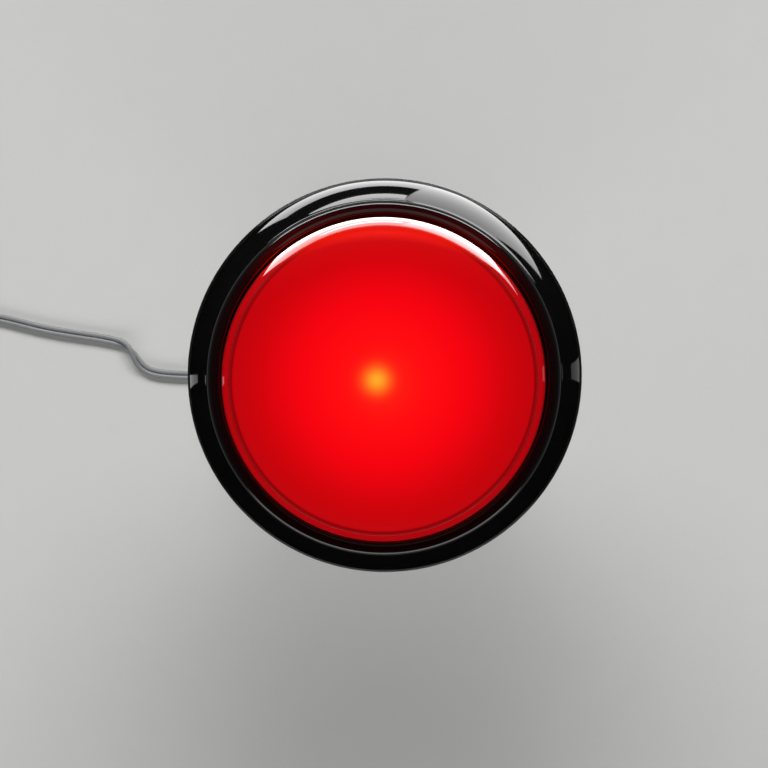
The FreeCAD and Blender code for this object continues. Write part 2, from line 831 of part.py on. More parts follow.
def make_lamp_led():
    """Clear lens of the lamp's LED, with a round top and a foot flange."""
    foot = d.lamp_body_height - d.lamp_tube_top
    outline = [
        (0, foot),
        (d.led_radius + d.led_flange, foot),
        (d.led_radius + d.led_flange, foot + d.led_flange * 2),
        (d.led_radius, foot + d.led_flange * 2),
        (d.led_radius, foot + d.led_height, d.led_radius, 1),
        (0, foot + d.led_height + d.led_radius),
    ]
    body, origin = start_body("lamp_led")
    revolve(body, draw(body, origin["XZ_Plane"], "led_profile", [outline]), "led_turned")
    return body


def make_lamp_leads():
    """The lamp's two wires, folded up along the wedge's faces."""
    low = -d.lamp_tube_top - d.collar_height - d.wedge_length
    length = d.wedge_length - d.collar_height * 2
    offset = d.wedge_half_width + d.lead_wire_radius
    wires = []
    for side, sign in (("front", 1), ("rear", -1)):
        at = (-d.lead_wire_offset * sign, offset * sign, low)
        wires.append(add_cylinder(f"lamp_wire_{side}", d.lead_wire_radius, length, at))
    pair = doc.addObject("Part::Compound", "lamp_leads")
    pair.Links = wires
    return pair


def make_lamp_contact(side, sign):
    """Stamped strip beside the wedge that ends in a push-on tab with a tapered tip on the left."""
    body, origin = start_body(f"lamp_contact_{side}")
    near, far = d.strip_inset, d.strip_inset + d.strip_width
    left, right = (-far, -near) if sign > 0 else (near, far)
    half_tab = d.tab_width / 2
    low, high = tab_zs[side] - half_tab, tab_zs[side] + half_tab
    outline = [
        (tab_end + d.tip_taper, low),
        (right, low),
        (right, -d.strip_top),
        (left, -d.strip_top),
        (left, high),
        (tab_end + d.tip_taper, high),
        (tab_end, high - d.tip_taper),
        (tab_end, low + d.tip_taper),
    ]
    sketch = draw(body, origin["XZ_Plane"], f"contact_outline_{side}", [outline], height=tab_y * -sign)
    pad(body, sketch, f"contact_strip_{side}", d.strip_thickness, both_sides=True)
    return body


# contact heights inside the switch
closed_z = case_top - d.case_wall - d.contact_depth
open_z = closed_z - d.contact_spacing
contact_x = case_left + d.case_wall + d.contact_radius * 2
common_x = button_x + d.common_offset
under_button = case_top - d.case_wall - d.button_flange - d.seat_gap * 3
anchor_z = under_button - d.blade_bow
shelf_end = case_right - d.case_wall * 2


def make_case_plate(name, back, front):
    """The switch's outline with rounded corners, between two places along Y."""
    body, origin = start_body(name)
    turn = d.case_round
    outline = [
        (case_left + turn, case_bottom),
        (case_right - turn, case_bottom, turn, 1),
        (case_right, case_bottom + turn),
        (case_right, case_top - turn, turn, 1),
        (case_right - turn, case_top),
        (case_left + turn, case_top, turn, 1),
        (case_left, case_top - turn),
        (case_left, case_bottom + turn, turn, 1),
    ]
    sketch = draw(body, origin["XZ_Plane"], f"{name}_outline", [outline], height=-front)
    pad(body, sketch, f"{name}_pad", front - back)
    return body


def make_switch_case():
    """Open case with peg bosses, a hole for the button, terminal slots and ears for the lever's pin."""
    inner_front = case_front - d.case_wall
    wall = d.case_wall
    half_tab = d.tab_width / 2 + d.tab_gap
    half_ear = d.knuckle_radius + d.ear_wall / 2
    block = make_case_plate("case_block", case_back, inner_front)
    hollow = add_box(
        "case_hollow",
        (case_left + wall, case_back + wall, case_bottom + wall),
        (case_right - wall, inner_front, case_top - wall),
    )
    solids = [cut("case_shell", block, [hollow])]
    for side, x in peg_xs.items():
        radius = d.peg_radius + d.peg_gap + d.peg_boss
        at = (x, case_back, peg_z)
        solids.append(add_cylinder(f"case_boss_{side}", radius, d.case_width - wall, at, TOWARDS_Y))
    ear_inner = d.lever_width / 2 + d.ear_gap
    for side, sign in (("rear", -1), ("front", 1)):
        ys = sorted(
            (switch_y + ear_inner * sign, switch_y + (ear_inner + d.ear_wall) * sign),
            key=lambda size: size.value,
        )
        low = (d.hinge_offset - half_ear, ys[0], case_top - wall)
        high = (d.hinge_offset + half_ear, ys[1], hinge_z)
        solids.append(add_box(f"case_ear_{side}", low, high))
        at = (d.hinge_offset, ys[0], hinge_z)
        solids.append(add_cylinder(f"case_ear_top_{side}", half_ear, d.ear_wall, at, TOWARDS_Y))
    tools = [
        add_cylinder(
            "case_button_hole", d.button_radius + d.peg_gap, wall * 2, (button_x, switch_y, case_top - wall)
        ),
        add_cylinder(
            "case_pin_hole",
            d.pin_radius + d.pin_gap / 2,
            d.case_width,
            (d.hinge_offset, case_back, hinge_z),
            TOWARDS_Y,
        ),
    ]
    hole_radius = d.peg_radius + d.peg_gap
    for side, x in peg_xs.items():
        at = (x, case_back, peg_z)
        tools.append(add_cylinder(f"case_peg_hole_{side}", hole_radius, d.case_width, at, TOWARDS_Y))
    half_thick = d.switch_tab_thickness / 2 + d.tab_gap / 2
    for name, z in (("closed", closed_z), ("open", open_z)):
        low = (case_left, switch_y - half_tab, z - half_thick)
        high = (case_left + wall, switch_y + half_tab, z + half_thick)
        tools.append(add_box(f"case_slot_{name}", low, high))
    low = (common_x - half_thick, switch_y - half_tab, case_bottom)
    high = (common_x + half_thick, switch_y + half_tab, case_bottom + wall)
    tools.append(add_box("case_slot_common", low, high))
    return cut("switch_case", fuse("case_solid", solids), tools)


def make_switch_cover():
    """Flat cover over the open front of the case."""
    inner_front = case_front - d.case_wall
    plate = make_case_plate("cover_plate", inner_front, case_front)
    holes = [
        add_cylinder(
            f"cover_hole_{side}", d.peg_radius + d.peg_gap, d.case_width, (x, case_back, peg_z), TOWARDS_Y
        )
        for side, x in peg_xs.items()
    ]
    return cut("switch_cover", plate, holes)


def make_switch_button():
    """Round button with a rounded top and a flange that keeps it in the case."""
    body, origin = start_body("switch_button")
    flange_top = case_top - d.case_wall - d.seat_gap
    flange_radius = d.button_radius + d.button_flange
    outline = [
        (0, flange_top - d.button_flange),
        (flange_radius, flange_top - d.button_flange),
        (flange_radius, flange_top),
        (d.button_radius, flange_top),
        (d.button_radius, button_top - d.button_round, d.button_round, 1),
        (d.button_radius - d.button_round, button_top),
        (0, button_top),
    ]
    revolve(body, draw(body, origin["XZ_Plane"], "button_profile", [outline]), "button_turned")
    place(body, button_x, switch_y)
    return body


def make_switch_lever():
    """Steel lever with a rolled eye, raised by its rest angle about the pin."""
    half = d.lever_width / 2
    arm = add_box("lever_arm", (-d.lever_length, -half, -lever_half), (0, half, lever_half))
    eye = add_cylinder("lever_eye", d.knuckle_radius, d.lever_width, (0, -half, 0), TOWARDS_Y)
    bore = add_cylinder("lever_bore", d.pin_radius + d.pin_gap, d.lever_width, (0, -half, 0), TOWARDS_Y)
    lever = cut("switch_lever", fuse("lever_solid", [arm, eye]), [bore])
    rise = FreeCAD.Rotation(V(0, 1, 0), d.lever_angle.value)
    place(lever, d.hinge_offset, switch_y, hinge_z, rise)
    lever.setExpression("Placement.Rotation.Angle", f"{d.lever_angle.formula} * 1 deg")
    return lever


def make_lever_pin():
    """Pin through the ears and the lever's eye."""
    half = d.lever_width / 2 + d.ear_gap + d.ear_wall
    at = (d.hinge_offset, switch_y - half, hinge_z)
    return add_cylinder("lever_pin", d.pin_radius, half * 2, at, TOWARDS_Y)


def make_switch_tabs():
    """Common terminal below, closed and open terminals on the left, each with its inner end."""
    half, thick = d.tab_width / 2, d.switch_tab_thickness / 2
    body, origin = start_body("common_post")
    post = [
        (switch_y - half, anchor_z),
        (switch_y - half, floor_z + d.tip_taper),
        (switch_y - half + d.tip_taper, floor_z),
        (switch_y + half - d.tip_taper, floor_z),
        (switch_y + half, floor_z + d.tip_taper),
        (switch_y + half, anchor_z),
    ]
    sketch = draw(body, origin["YZ_Plane"], "common_outline", [post], height=common_x)
    pad(body, sketch, "common_strip", d.switch_tab_thickness, both_sides=True)
    shelf = add_box(
        "common_shelf",
        (common_x - thick, switch_y - half, anchor_z - d.switch_tab_thickness),
        (shelf_end, switch_y + half, anchor_z),
    )
    at = (common_x + d.tab_width, switch_y, floor_z + d.tab_hole_inset)
    hole = add_cylinder("common_hole", d.tab_hole, d.tab_width * 2, at, TOWARDS_MINUS_X)
    tabs = [cut("switch_tab_common", fuse("common_solid", [body, shelf]), [hole])]
    tip, inner = case_left - d.switch_tab_reach, contact_x + d.contact_radius * 2
    outline = [
        (tip + d.tip_taper, switch_y - half),
        (inner, switch_y - half),
        (inner, switch_y + half),
        (tip + d.tip_taper, switch_y + half),
        (tip, switch_y + half - d.tip_taper),
        (tip, switch_y - half + d.tip_taper),
    ]
    for name, z, drop in (("closed", closed_z, -1), ("open", open_z, 1)):
        strip, origin = start_body(f"{name}_strip")
        sketch = draw(strip, origin["XY_Plane"], f"{name}_outline", [outline], height=z)
        pad(strip, sketch, f"{name}_pad", d.switch_tab_thickness, both_sides=True)
        foot = z + thick if drop > 0 else z - thick * 2
        rivet = add_cylinder(f"{name}_rivet", d.contact_radius, thick, (contact_x, switch_y, foot))
        at = (tip + d.tab_hole_inset, switch_y, z - d.switch_tab_thickness)
        hole = add_cylinder(f"{name}_hole", d.tab_hole, d.switch_tab_thickness * 2, at)
        tabs.append(cut(f"switch_tab_{name}", fuse(f"{name}_solid", [strip, rivet]), [hole]))
    return tabs


def make_switch_blade():
    """Leaf spring from the common shelf, bowed up under the button, with the moving contact."""
    thick = d.switch_tab_thickness / 2
    tip_top = closed_z - thick * 2 - d.seat_gap - thick
    body, origin = start_body("switch_blade")
    t = d.blade_thickness
    anchor_x = (common_x + shelf_end) / 2
    outline = [
        (shelf_end, anchor_z),
        (shelf_end, anchor_z + t),
        (anchor_x, anchor_z + t),
        (button_x + d.button_radius, under_button),
        (button_x - d.button_radius, under_button),
        (contact_x + d.contact_radius, tip_top),
        (contact_x - d.contact_radius, tip_top),
        (contact_x - d.contact_radius, tip_top - t),
        (contact_x + d.contact_radius, tip_top - t),
        (button_x - d.button_radius, under_button - t),
        (button_x + d.button_radius, under_button - t),
        (anchor_x - t, anchor_z),
    ]
    sketch = draw(body, origin["XZ_Plane"], "blade_profile", [outline], height=-switch_y)
    pad(body, sketch, "blade_strip", d.blade_width, both_sides=True)
    contact = [
        (contact_x - d.contact_radius / 2, tip_top),
        (contact_x + d.contact_radius / 2, tip_top),
        (contact_x + d.contact_radius / 2, tip_top + thick),
        (contact_x - d.contact_radius / 2, tip_top + thick),
    ]
    contact_sketch = draw(body, origin["XZ_Plane"], "blade_contact_profile", [contact], height=-switch_y)
    pad(body, contact_sketch, "blade_contact", d.contact_radius, both_sides=True)
    return body


# push-on receptacles
receptacle_start = block_left - d.sleeve_start
receptacle_end = receptacle_start - d.receptacle_length
barrel_end = receptacle_end - d.barrel_length
sleeve_end = barrel_end - d.sleeve_tail
barrel_radius = d.strand_radius + d.receptacle_wall
sleeve_radius = barrel_radius + d.sleeve_gap + d.sleeve_wall


def make_receptacle(side, sign):
    """Folded receptacle over a lamp tab, with a crimped barrel, and its insulating sleeve."""
    y, z = tab_y * sign, tab_zs[side]
    half_width = d.strip_thickness / 2 + d.tab_gap + d.receptacle_wall
    half_height = d.tab_width / 2 + d.tab_gap + d.receptacle_wall
    inner_width = d.strip_thickness / 2 + d.tab_gap
    inner_height = d.tab_width / 2 + d.tab_gap
    box = add_box(
        f"receptacle_box_{side}",
        (receptacle_end, y - half_width, z - half_height),
        (receptacle_start, y + half_width, z + half_height),
    )
    barrel = add_cylinder(
        f"receptacle_barrel_{side}", barrel_radius, d.barrel_length, (receptacle_end, y, z), TOWARDS_MINUS_X
    )
    slot = add_box(
        f"receptacle_slot_{side}",
        (tab_end - d.tab_gap, y - inner_width, z - inner_height),
        (receptacle_start, y + inner_width, z + inner_height),
    )
    metal = cut(f"receptacle_{side}", fuse(f"receptacle_solid_{side}", [box, barrel]), [slot])
    gap, wall = d.sleeve_gap, d.sleeve_wall
    hood, origin = start_body(f"sleeve_hood_{side}")
    right, left = y + half_width + gap + wall, y - half_width - gap - wall
    top, bottom = z + half_height + gap + wall, z - half_height - gap - wall
    outline = [
        (left + wall, bottom),
        (right - wall, bottom, wall, 1),
        (right, bottom + wall),
        (right, top - wall, wall, 1),
        (right - wall, top),
        (left + wall, top, wall, 1),
        (left, top - wall),
        (left, bottom + wall, wall, 1),
    ]
    hood_end = receptacle_end - gap - wall
    sketch = draw(hood, origin["YZ_Plane"], f"sleeve_outline_{side}", [outline], height=hood_end)
    pad(hood, sketch, f"sleeve_pad_{side}", receptacle_start - hood_end)
    tail_length = receptacle_end - sleeve_end
    at = (receptacle_end, y, z)
    tail = add_cylinder(f"sleeve_neck_{side}", sleeve_radius, tail_length, at, TOWARDS_MINUS_X)
    room = add_box(
        f"sleeve_room_{side}",
        (receptacle_end - gap, y - half_width - gap, z - half_height - gap),
        (receptacle_start, y + half_width + gap, z + half_height + gap),
    )
    neck = add_cylinder(f"sleeve_bore_{side}", barrel_radius + gap, tail_length, at, TOWARDS_MINUS_X)
    sleeve = cut(f"sleeve_{side}", fuse(f"sleeve_solid_{side}", [hood, tail]), [room, neck])
    return metal, sleeve


# share of the shorter run next to it that a bend of the lead takes up
BEND_SHARE = 0.45


def rounded_path(points):
    """Straight runs joined by tangent arcs, each as large as its shorter run allows."""
    edges, radii = [], []
    at = points[0]
    for before, corner, after in zip(points, points[1:], points[2:]):
        into = (corner - before).normalize()
        out = (after - corner).normalize()
        half_turn = into.getAngle(out) / 2
        reach = BEND_SHARE * min((corner - before).Length, (after - corner).Length)
        radius = reach / math.tan(half_turn)
        first, last = corner - into * reach, corner + out * reach
        inward = (out - into).normalize()
        middle = corner + inward * (radius / math.cos(half_turn) - radius)
        edges += [Part.LineSegment(at, first).toShape(), Part.Arc(first, middle, last).toShape()]
        radii.append(radius)
        at = last
    edges.append(Part.LineSegment(at, points[-1]).toShape())
    return Part.Wire(edges), radii


def make_tube(name, points, radius):
    """A round cord along a route, with its volume compared with section times length."""
    path, radii = rounded_path(points)
    start = points[1] - points[0]
    section = Part.Wire(Part.Circle(points[0], start, radius).toShape())
    tube = doc.addObject("Part::Feature", name)
    tube.Shape = path.makePipeShell([section], True, True)
    expected = math.pi * radius**2 * path.Length
    if abs(tube.Shape.Volume - expected) > 0.01 * expected:
        raise RuntimeError(f"{name} has volume {tube.Shape.Volume:.1f}, not {expected:.1f}")
    shown = " ".join(f"{r:.1f}" for r in radii)
    print(f"{name}: {path.Length:.1f} mm long, radii {shown}")
    return tube


pair_radius = d.strand_radius * 2
pair_z = floor_z + pair_radius
LEAD_ROUTE = [(-54, -2.8), (-62, -2.8), (-68.6, 0.4), (-73.2, 6.0), (-81, 8.2), (-92, 9.3), (-107, 13.0)]
TAIL_LAST_RUN = 4.0
TAIL_ROUTES = {
    "upper": [(-6.0, 0.0, 0.0), (-12.5, -0.9, -4.4), (-16.5, -2.6, -11.5), (-20.5, -3.7, -18.0)],
    "lower": [(-6.0, 0.0, 0.0), (-12.0, -0.7, -3.2), (-16.5, -1.3, -7.6), (-20.5, -1.5, -11.2)],
}


def make_lead_tail(side, sign):
    """One insulated wire from its receptacle down to the start of the pair."""
    start = V(barrel_end.value, tab_y.value * sign, tab_zs[side].value)
    points = [start] + [start + V(*step) for step in TAIL_ROUTES[side]]
    pair_x, pair_y = LEAD_ROUTE[0]
    end = V(pair_x, pair_y + d.strand_radius.value * sign, pair_z.value)
    points += [end + V(TAIL_LAST_RUN, 0, 0), end]
    return make_tube(f"lead_tail_{side}", points, d.strand_radius.value)


def make_lead_run():
    """The pair along the floor, from below the bezel to the coil's outer turn."""
    turn = (d.coil_radius + pair_radius).value
    clear = turn + pair_radius.value * 2 + d.tab_gap.value
    coil_start = (d.coil_x.value + math.sqrt(clear**2 - turn**2), d.coil_y.value + turn)
    points = [V(x, y, pair_z.value) for x, y in LEAD_ROUTE + [coil_start]]
    return make_tube("lead_run", points, pair_radius.value)


coil_base = floor_z + d.tie_thickness
coil_step = pair_radius * 2
coil_nest = 1 + math.sin(math.radians(60))
coil_top = coil_base + coil_step * coil_nest


def coil_section(grow, base):
    """Corners of the coil's section, with its sides and top moved out by a length."""
    return [
        (d.coil_radius - coil_step - grow, base),
        (d.coil_radius + coil_step + grow, base),
        (d.coil_radius + coil_step + grow, coil_base + coil_step + grow / 2),
        (d.coil_radius + pair_radius + grow / 2, coil_top + grow),
        (d.coil_radius - pair_radius - grow / 2, coil_top + grow),
        (d.coil_radius - coil_step - grow, coil_base + coil_step + grow / 2),
    ]


def make_lead_coil():
    """Outer shape of the coil: two turns side by side and one in the groove above them."""
    body, origin = start_body("lead_coil")
    outline = coil_section(as_size(0), coil_base)
    revolve(body, draw(body, origin["XZ_Plane"], "coil_profile", [outline]), "coil_turned")
    place(body, d.coil_x, d.coil_y)
    return body


def make_lead_tie():
    """Band round the coil's turns, where the lead's end leaves them."""
    body, origin = start_body("lead_tie")
    outer = coil_section(d.tie_gap + d.tie_thickness, floor_z)
    inner = coil_section(d.tie_gap, coil_base)
    loops = [[(-radius, z) for radius, z in loop] for loop in (outer, inner)]
    sketch = draw(body, origin["XZ_Plane"], "tie_profile", loops)
    pad(body, sketch, "tie_band", d.tie_width, both_sides=True)
    top = coil_top + d.tie_gap + d.tie_thickness
    half = d.tie_width / 2
    head = [
        (-d.coil_radius - half, top - d.tie_thickness / 2),
        (-d.coil_radius + half, top - d.tie_thickness / 2),
        (-d.coil_radius + half, top + half),
        (-d.coil_radius - half, top + half),
    ]
    sketch = draw(body, origin["XZ_Plane"], "tie_head_profile", [head])
    pad(body, sketch, "tie_head", d.tie_width + d.tie_thickness * 2, both_sides=True)
    place(body, d.coil_x, d.coil_y)
    return body


END_ROUTE = [(0.0, -11.8, 3.3), (-0.6, -16.6, 2.7), (0.0, -21.4, 2.5), (0.0, -25.6, 2.5)]


def make_lead_end():
    """The last of the pair, from the coil's top turn to the plug beside the coil."""
    start = V(d.coil_x.value - d.coil_radius.value, d.coil_y.value, floor_z.value)
    points = [start + V(*step) for step in END_ROUTE]
    return make_tube("lead_end", points, pair_radius.value)


def make_lead_plug():
    """Two-way plug on the lead's end, lying on the floor, and its pins."""
    x = d.coil_x - d.coil_radius
    back = d.coil_y + END_ROUTE[-1][1]
    front = back - d.plug_length
    half, edge = d.plug_width / 2, d.plug_chamfer
    plug_top_z = floor_z + d.plug_thickness
    outline = [
        (x - half, floor_z),
        (x + half, floor_z),
        (x + half, plug_top_z - edge),
        (x + half - edge, plug_top_z),
        (x - half + edge, plug_top_z),
        (x - half, plug_top_z - edge),
    ]
    housing, origin = start_body("plug_block")
    sketch = draw(housing, origin["XZ_Plane"], "plug_outline", [outline], height=-back)
    pad(housing, sketch, "plug_pad", d.plug_length)
    latch = add_box(
        "plug_latch",
        (x - d.pin_pitch / 2, front, plug_top_z - edge),
        (x + d.pin_pitch / 2, back - d.plug_length / 3, plug_top_z + d.strand_radius),
    )
    shell = fuse("plug_shell", [housing, latch])
    pin_z = floor_z + d.plug_thickness / 2
    pins, holes = [], []
    for side, sign in (("left", -1), ("right", 1)):
        at = (x + d.pin_pitch / 2 * sign, front - d.pin_length, pin_z)
        length = d.pin_length + d.plug_length / 2
        pins.append(add_cylinder(f"plug_pin_{side}", d.pin_radius, length, at, TOWARDS_Y))
        holes.append(add_cylinder(f"plug_hole_{side}", d.pin_radius + d.pin_gap / 2, length, at, TOWARDS_Y))
    pair = doc.addObject("Part::Compound", "plug_pins")
    pair.Links = pins
    return [cut("lead_plug", shell, holes), pair]


def main():
    """Build every sub-part, check it and write its file."""
    nodes = [
        make_bezel_housing(),
        make_dome_lens(),
        make_plunger_plate(),
        make_return_spring(),
        make_panel_nut(),
        make_lamp_holder(),
        make_lamp_base(),
        make_lamp_led(),
        make_lamp_leads(),
        make_switch_case(),
        make_switch_cover(),
        make_switch_button(),
        make_switch_lever(),
        make_lever_pin(),
        make_switch_blade(),
    ]
    nodes += make_switch_tabs()
    for side, sign in (("upper", 1), ("lower", -1)):
        nodes.append(make_lamp_contact(side, sign))
        nodes += make_receptacle(side, sign)
        nodes.append(make_lead_tail(side, sign))
    nodes += [make_lead_run(), make_lead_coil(), make_lead_tie(), make_lead_end()]
    nodes += make_lead_plug()
    doc.recompute()
    for item in doc.Objects:
        if "Invalid" in item.State or "Error" in item.State:
            raise RuntimeError(f"{item.Label} failed: {item.State}")
    for node in nodes:
        if node.Shape.isNull() or not node.Shape.isValid():
            raise RuntimeError(f"{node.Label} has no valid shape")
    os.makedirs("parts", exist_ok=True)
    for node in nodes:
        node.Shape.exportStep(f"parts/{node.Label}.step")
        box = node.Shape.BoundBox
        print(
            f"{node.Label}: {len(node.Shape.Solids)} solids, {node.Shape.Volume:.0f} mm3,"
            f" z {box.ZMin:.2f} to {box.ZMax:.2f}"
        )


main()
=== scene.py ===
"""Looks of the illuminated dome button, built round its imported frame.

Metres. The dome looks up along +Z, the bezel's seat on the panel is Z = 0, and the lamp lead leaves
towards -X and lies on the floor, which is just under the switch's lowest tab.
"""
import logging
import math
from collections.abc import Callable
from dataclasses import dataclass, field
from enum import Enum

import bpy
from mathutils import Matrix, Vector


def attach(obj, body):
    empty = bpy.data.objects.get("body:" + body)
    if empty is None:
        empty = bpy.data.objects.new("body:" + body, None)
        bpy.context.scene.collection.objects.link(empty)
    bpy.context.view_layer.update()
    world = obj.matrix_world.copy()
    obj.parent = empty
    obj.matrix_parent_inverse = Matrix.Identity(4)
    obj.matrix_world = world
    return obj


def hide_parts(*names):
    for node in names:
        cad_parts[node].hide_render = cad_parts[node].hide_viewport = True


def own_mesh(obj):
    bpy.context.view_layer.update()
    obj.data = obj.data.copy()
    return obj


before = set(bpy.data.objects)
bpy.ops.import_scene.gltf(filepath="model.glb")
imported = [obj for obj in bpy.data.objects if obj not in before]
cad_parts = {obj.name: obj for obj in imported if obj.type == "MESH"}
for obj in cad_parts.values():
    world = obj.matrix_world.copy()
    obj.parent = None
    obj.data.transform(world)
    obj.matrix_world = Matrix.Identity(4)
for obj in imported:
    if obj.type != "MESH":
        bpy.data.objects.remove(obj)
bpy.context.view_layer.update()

log = logging.getLogger("dome_button")
MM = 0.001
# vertices closer than the first are one, and faces thinner than the second are taken out
WELD = 0.002 * MM
SLIVER = 0.0005 * MM
# how far a cutter reaches past what it cuts
CUT_PAST = 1.0 * MM
TURN_STEPS = 192
EDGE_STEPS = 3
BREAK_ABOVE = math.radians(28)
SMOOTH_BELOW = math.radians(35)
WIRE_SMOOTH_BELOW = math.radians(60)
# every finish: the round that its edges seem to have, and its clouds' size, spread and change of gloss
EDGE_LOOK = 0.15 * MM
CLOUD_SIZE = 11.0 * MM
CLOUD_SPAN = (0.3, 0.7)
GLOSS_SPAN = (0.85, 1.2)
# how much longer than wide the lines of drawn metal are
LINE_STRETCH = 14
# sockets of a mix node that carry colours
COLOUR_A, COLOUR_B, COLOUR_OUT = 6, 7, 2
Point = tuple[float, float]
Place = tuple[float, float, float]
Stops = tuple[tuple[float, str], ...]


def linear(code: str) -> tuple[float, float, float, float]:
    """Turn an sRGB hex colour into linear RGBA.

    Args:
        code: Six hex digits, with or without a leading mark.

    Returns:
        Red, green, blue and full alpha.
    """
    parts = [int(code.lstrip("#")[i : i + 2], 16) / 255 for i in (0, 2, 4)]
    red, green, blue = (c / 12.92 if c <= 0.04045 else ((c + 0.055) / 1.055) ** 2.4 for c in parts)
    return red, green, blue, 1.0


def add_node(
    tree: bpy.types.NodeTree, kind: str, inputs: dict[str | int, object] | None = None, **settings: object
) -> bpy.types.Node:
    """Add a shader node, set it up and link it.

    Args:
        tree: Node tree that gets the node.
        kind: Blender's name for the node's type.
        inputs: Input name or number with a constant, or with the socket it is linked from.
        settings: Properties of the node itself.

    Returns:
        The new node.
    """
    made = tree.nodes.new(kind)
    for name, value in settings.items():
        setattr(made, name, value)
    for name, value in (inputs or {}).items():
        if isinstance(value, bpy.types.NodeSocket):
            tree.links.new(value, made.inputs[name])
        else:
            made.inputs[name].default_value = value
    return made


class Surface(Enum):
    """How a surface was made, which decides the pattern that it shows."""

    POLISHED = "moulded in a polished tool"
    SPARKED = "moulded in a spark-eroded tool"
    DRAWN = "drawn or rolled, with fine lines"
    SOFT = "extruded soft plastic"


@dataclass(frozen=True)
class Finish:
    """One material: what it is, its colour and the marks of how it was made.

    Attributes:
        name: Common name of the material.
        colour: Its colour as sRGB hex.
        dusk: The darker colour that it varies to, as sRGB hex.
        roughness: Mean roughness.
        surface: How the surface was made.
        grain_mm: Size of the pattern's features.
        relief_mm: Depth of the pattern's features.
        metallic: One for bare metal.
        ior: Refractive index, left at the default for metals.
        see_through: Share of light that passes through.
        shine: Strength of the mirror layer, where 0.5 is the refractive index's own.
    """

    name: str
    colour: str
    dusk: str
    roughness: float
    surface: Surface
    grain_mm: float
    relief_mm: float
    metallic: float = 0.0
    ior: float = 1.5
    see_through: float = 0.0
    shine: float = 0.5

    def stretch(self) -> Place:
        """Work out the pattern's scale: drawn metal has lines along X.

        Returns:
            The scale along X, Y and Z, per metre.
        """
        scale = 1 / (self.grain_mm * MM)
        along = scale / LINE_STRETCH if self.surface is Surface.DRAWN else scale
        return along, scale, scale

    def material(self) -> bpy.types.Material:
        """Build the material once.

        Returns:
            The material of this finish, new or made before.
        """
        known = bpy.data.materials.get(self.name)
        if known:
            return known
        made = bpy.data.materials.new(self.name)
        made.use_nodes = True
        tree = made.node_tree
        shader = tree.nodes["Principled BSDF"]
        where = add_node(tree, "ShaderNodeTexCoord").outputs["Object"]
        spread = add_node(tree, "ShaderNodeMapping", {"Vector": where, "Scale": self.stretch()})
        grain = add_node(
            tree,
            "ShaderNodeTexNoise",
            {"Vector": spread.outputs["Vector"], "Scale": 1.0, "Detail": 3.0, "Roughness": 0.55},
        ).outputs["Fac"]
        cloud = add_node(
            tree, "ShaderNodeTexNoise", {"Vector": where, "Scale": 1 / CLOUD_SIZE, "Detail": 2.0}
        ).outputs["Fac"]
        blend = add_node(tree, "ShaderNodeMath", {0: grain, 1: cloud}, operation="MULTIPLY")
        tint = add_node(
            tree,
            "ShaderNodeMix",
            {"Factor": blend.outputs[0], COLOUR_A: linear(self.colour), COLOUR_B: linear(self.dusk)},
            data_type="RGBA",
        )
        gloss = add_node(
            tree,
            "ShaderNodeMapRange",
            {
                "Value": cloud,
                "From Min": CLOUD_SPAN[0],
                "From Max": CLOUD_SPAN[1],
                "To Min": GLOSS_SPAN[0] * self.roughness,
                "To Max": GLOSS_SPAN[1] * self.roughness,
            },
        )
        edge = add_node(tree, "ShaderNodeBevel", {"Radius": EDGE_LOOK}, samples=4).outputs["Normal"]
        bump = add_node(
            tree, "ShaderNodeBump", {"Height": grain, "Distance": self.relief_mm * MM, "Normal": edge}
        )
        tree.links.new(tint.outputs[COLOUR_OUT], shader.inputs["Base Color"])
        tree.links.new(gloss.outputs["Result"], shader.inputs["Roughness"])
        tree.links.new(bump.outputs["Normal"], shader.inputs["Normal"])
        shader.inputs["Metallic"].default_value = self.metallic
        if not self.metallic:
            shader.inputs["IOR"].default_value = self.ior
            shader.inputs["Specular IOR Level"].default_value = self.shine
        shader.inputs["Transmission Weight"].default_value = self.see_through
        return made


# ABS from a polished tool: deep black with sharp, slightly wavy reflections
BLACK_ABS = Finish("black_abs_polished", "#0B0B0C", "#070708", 0.06, Surface.POLISHED, 9.0, 0.004)
# natural white ABS, faintly warm and satin
WHITE_ABS = Finish("white_abs_satin", "#E9E7DF", "#D8D5CB", 0.38, Surface.SPARKED, 0.6, 0.012)
# black nylon: satin with a fine spark grain, drawn coarser than the real 0.1 mm so that it shows
BLACK_NYLON = Finish("black_nylon_grained", "#1B1B1C", "#121213", 0.46, Surface.SPARKED, 0.55, 0.02)
# phenolic of the switch: darker and harder than nylon, with a faint moulding haze
BLACK_PHENOLIC = Finish("black_phenolic", "#141415", "#0D0D0E", 0.34, Surface.SPARKED, 0.8, 0.01)
# natural nylon of the plug: creamy, waxy
CREAM_NYLON = Finish("natural_nylon", "#E4DFD0", "#D3CCB8", 0.4, Surface.SOFT, 1.4, 0.008)
# clear vinyl of the sleeves: milky and soft
CLEAR_VINYL = Finish("clear_vinyl", "#D9DAD6", "#C6C7C2", 0.25, Surface.SOFT, 2.0, 0.01, see_through=0.55)
# wire insulation: extruded PVC with a dull sheen
GREY_PVC = Finish("grey_pvc", "#858688", "#757678", 0.45, Surface.SOFT, 1.2, 0.01)
# stamped brass: warm with rolling lines and a little tarnish
BRASS = Finish("rolled_brass", "#C9A557", "#96763A", 0.3, Surface.DRAWN, 0.35, 0.004, metallic=1.0)
# spring wire and lever strip: bright drawn steel
STEEL = Finish("drawn_steel", "#BFC0C2", "#9A9B9E", 0.28, Surface.DRAWN, 0.3, 0.003, metallic=1.0)
# tinned copper of the lamp's wires and the plug's pins: pale, with a dull shine
TIN = Finish("tinned_copper", "#C4C1B8", "#A5A196", 0.35, Surface.DRAWN, 0.3, 0.003, metallic=1.0)
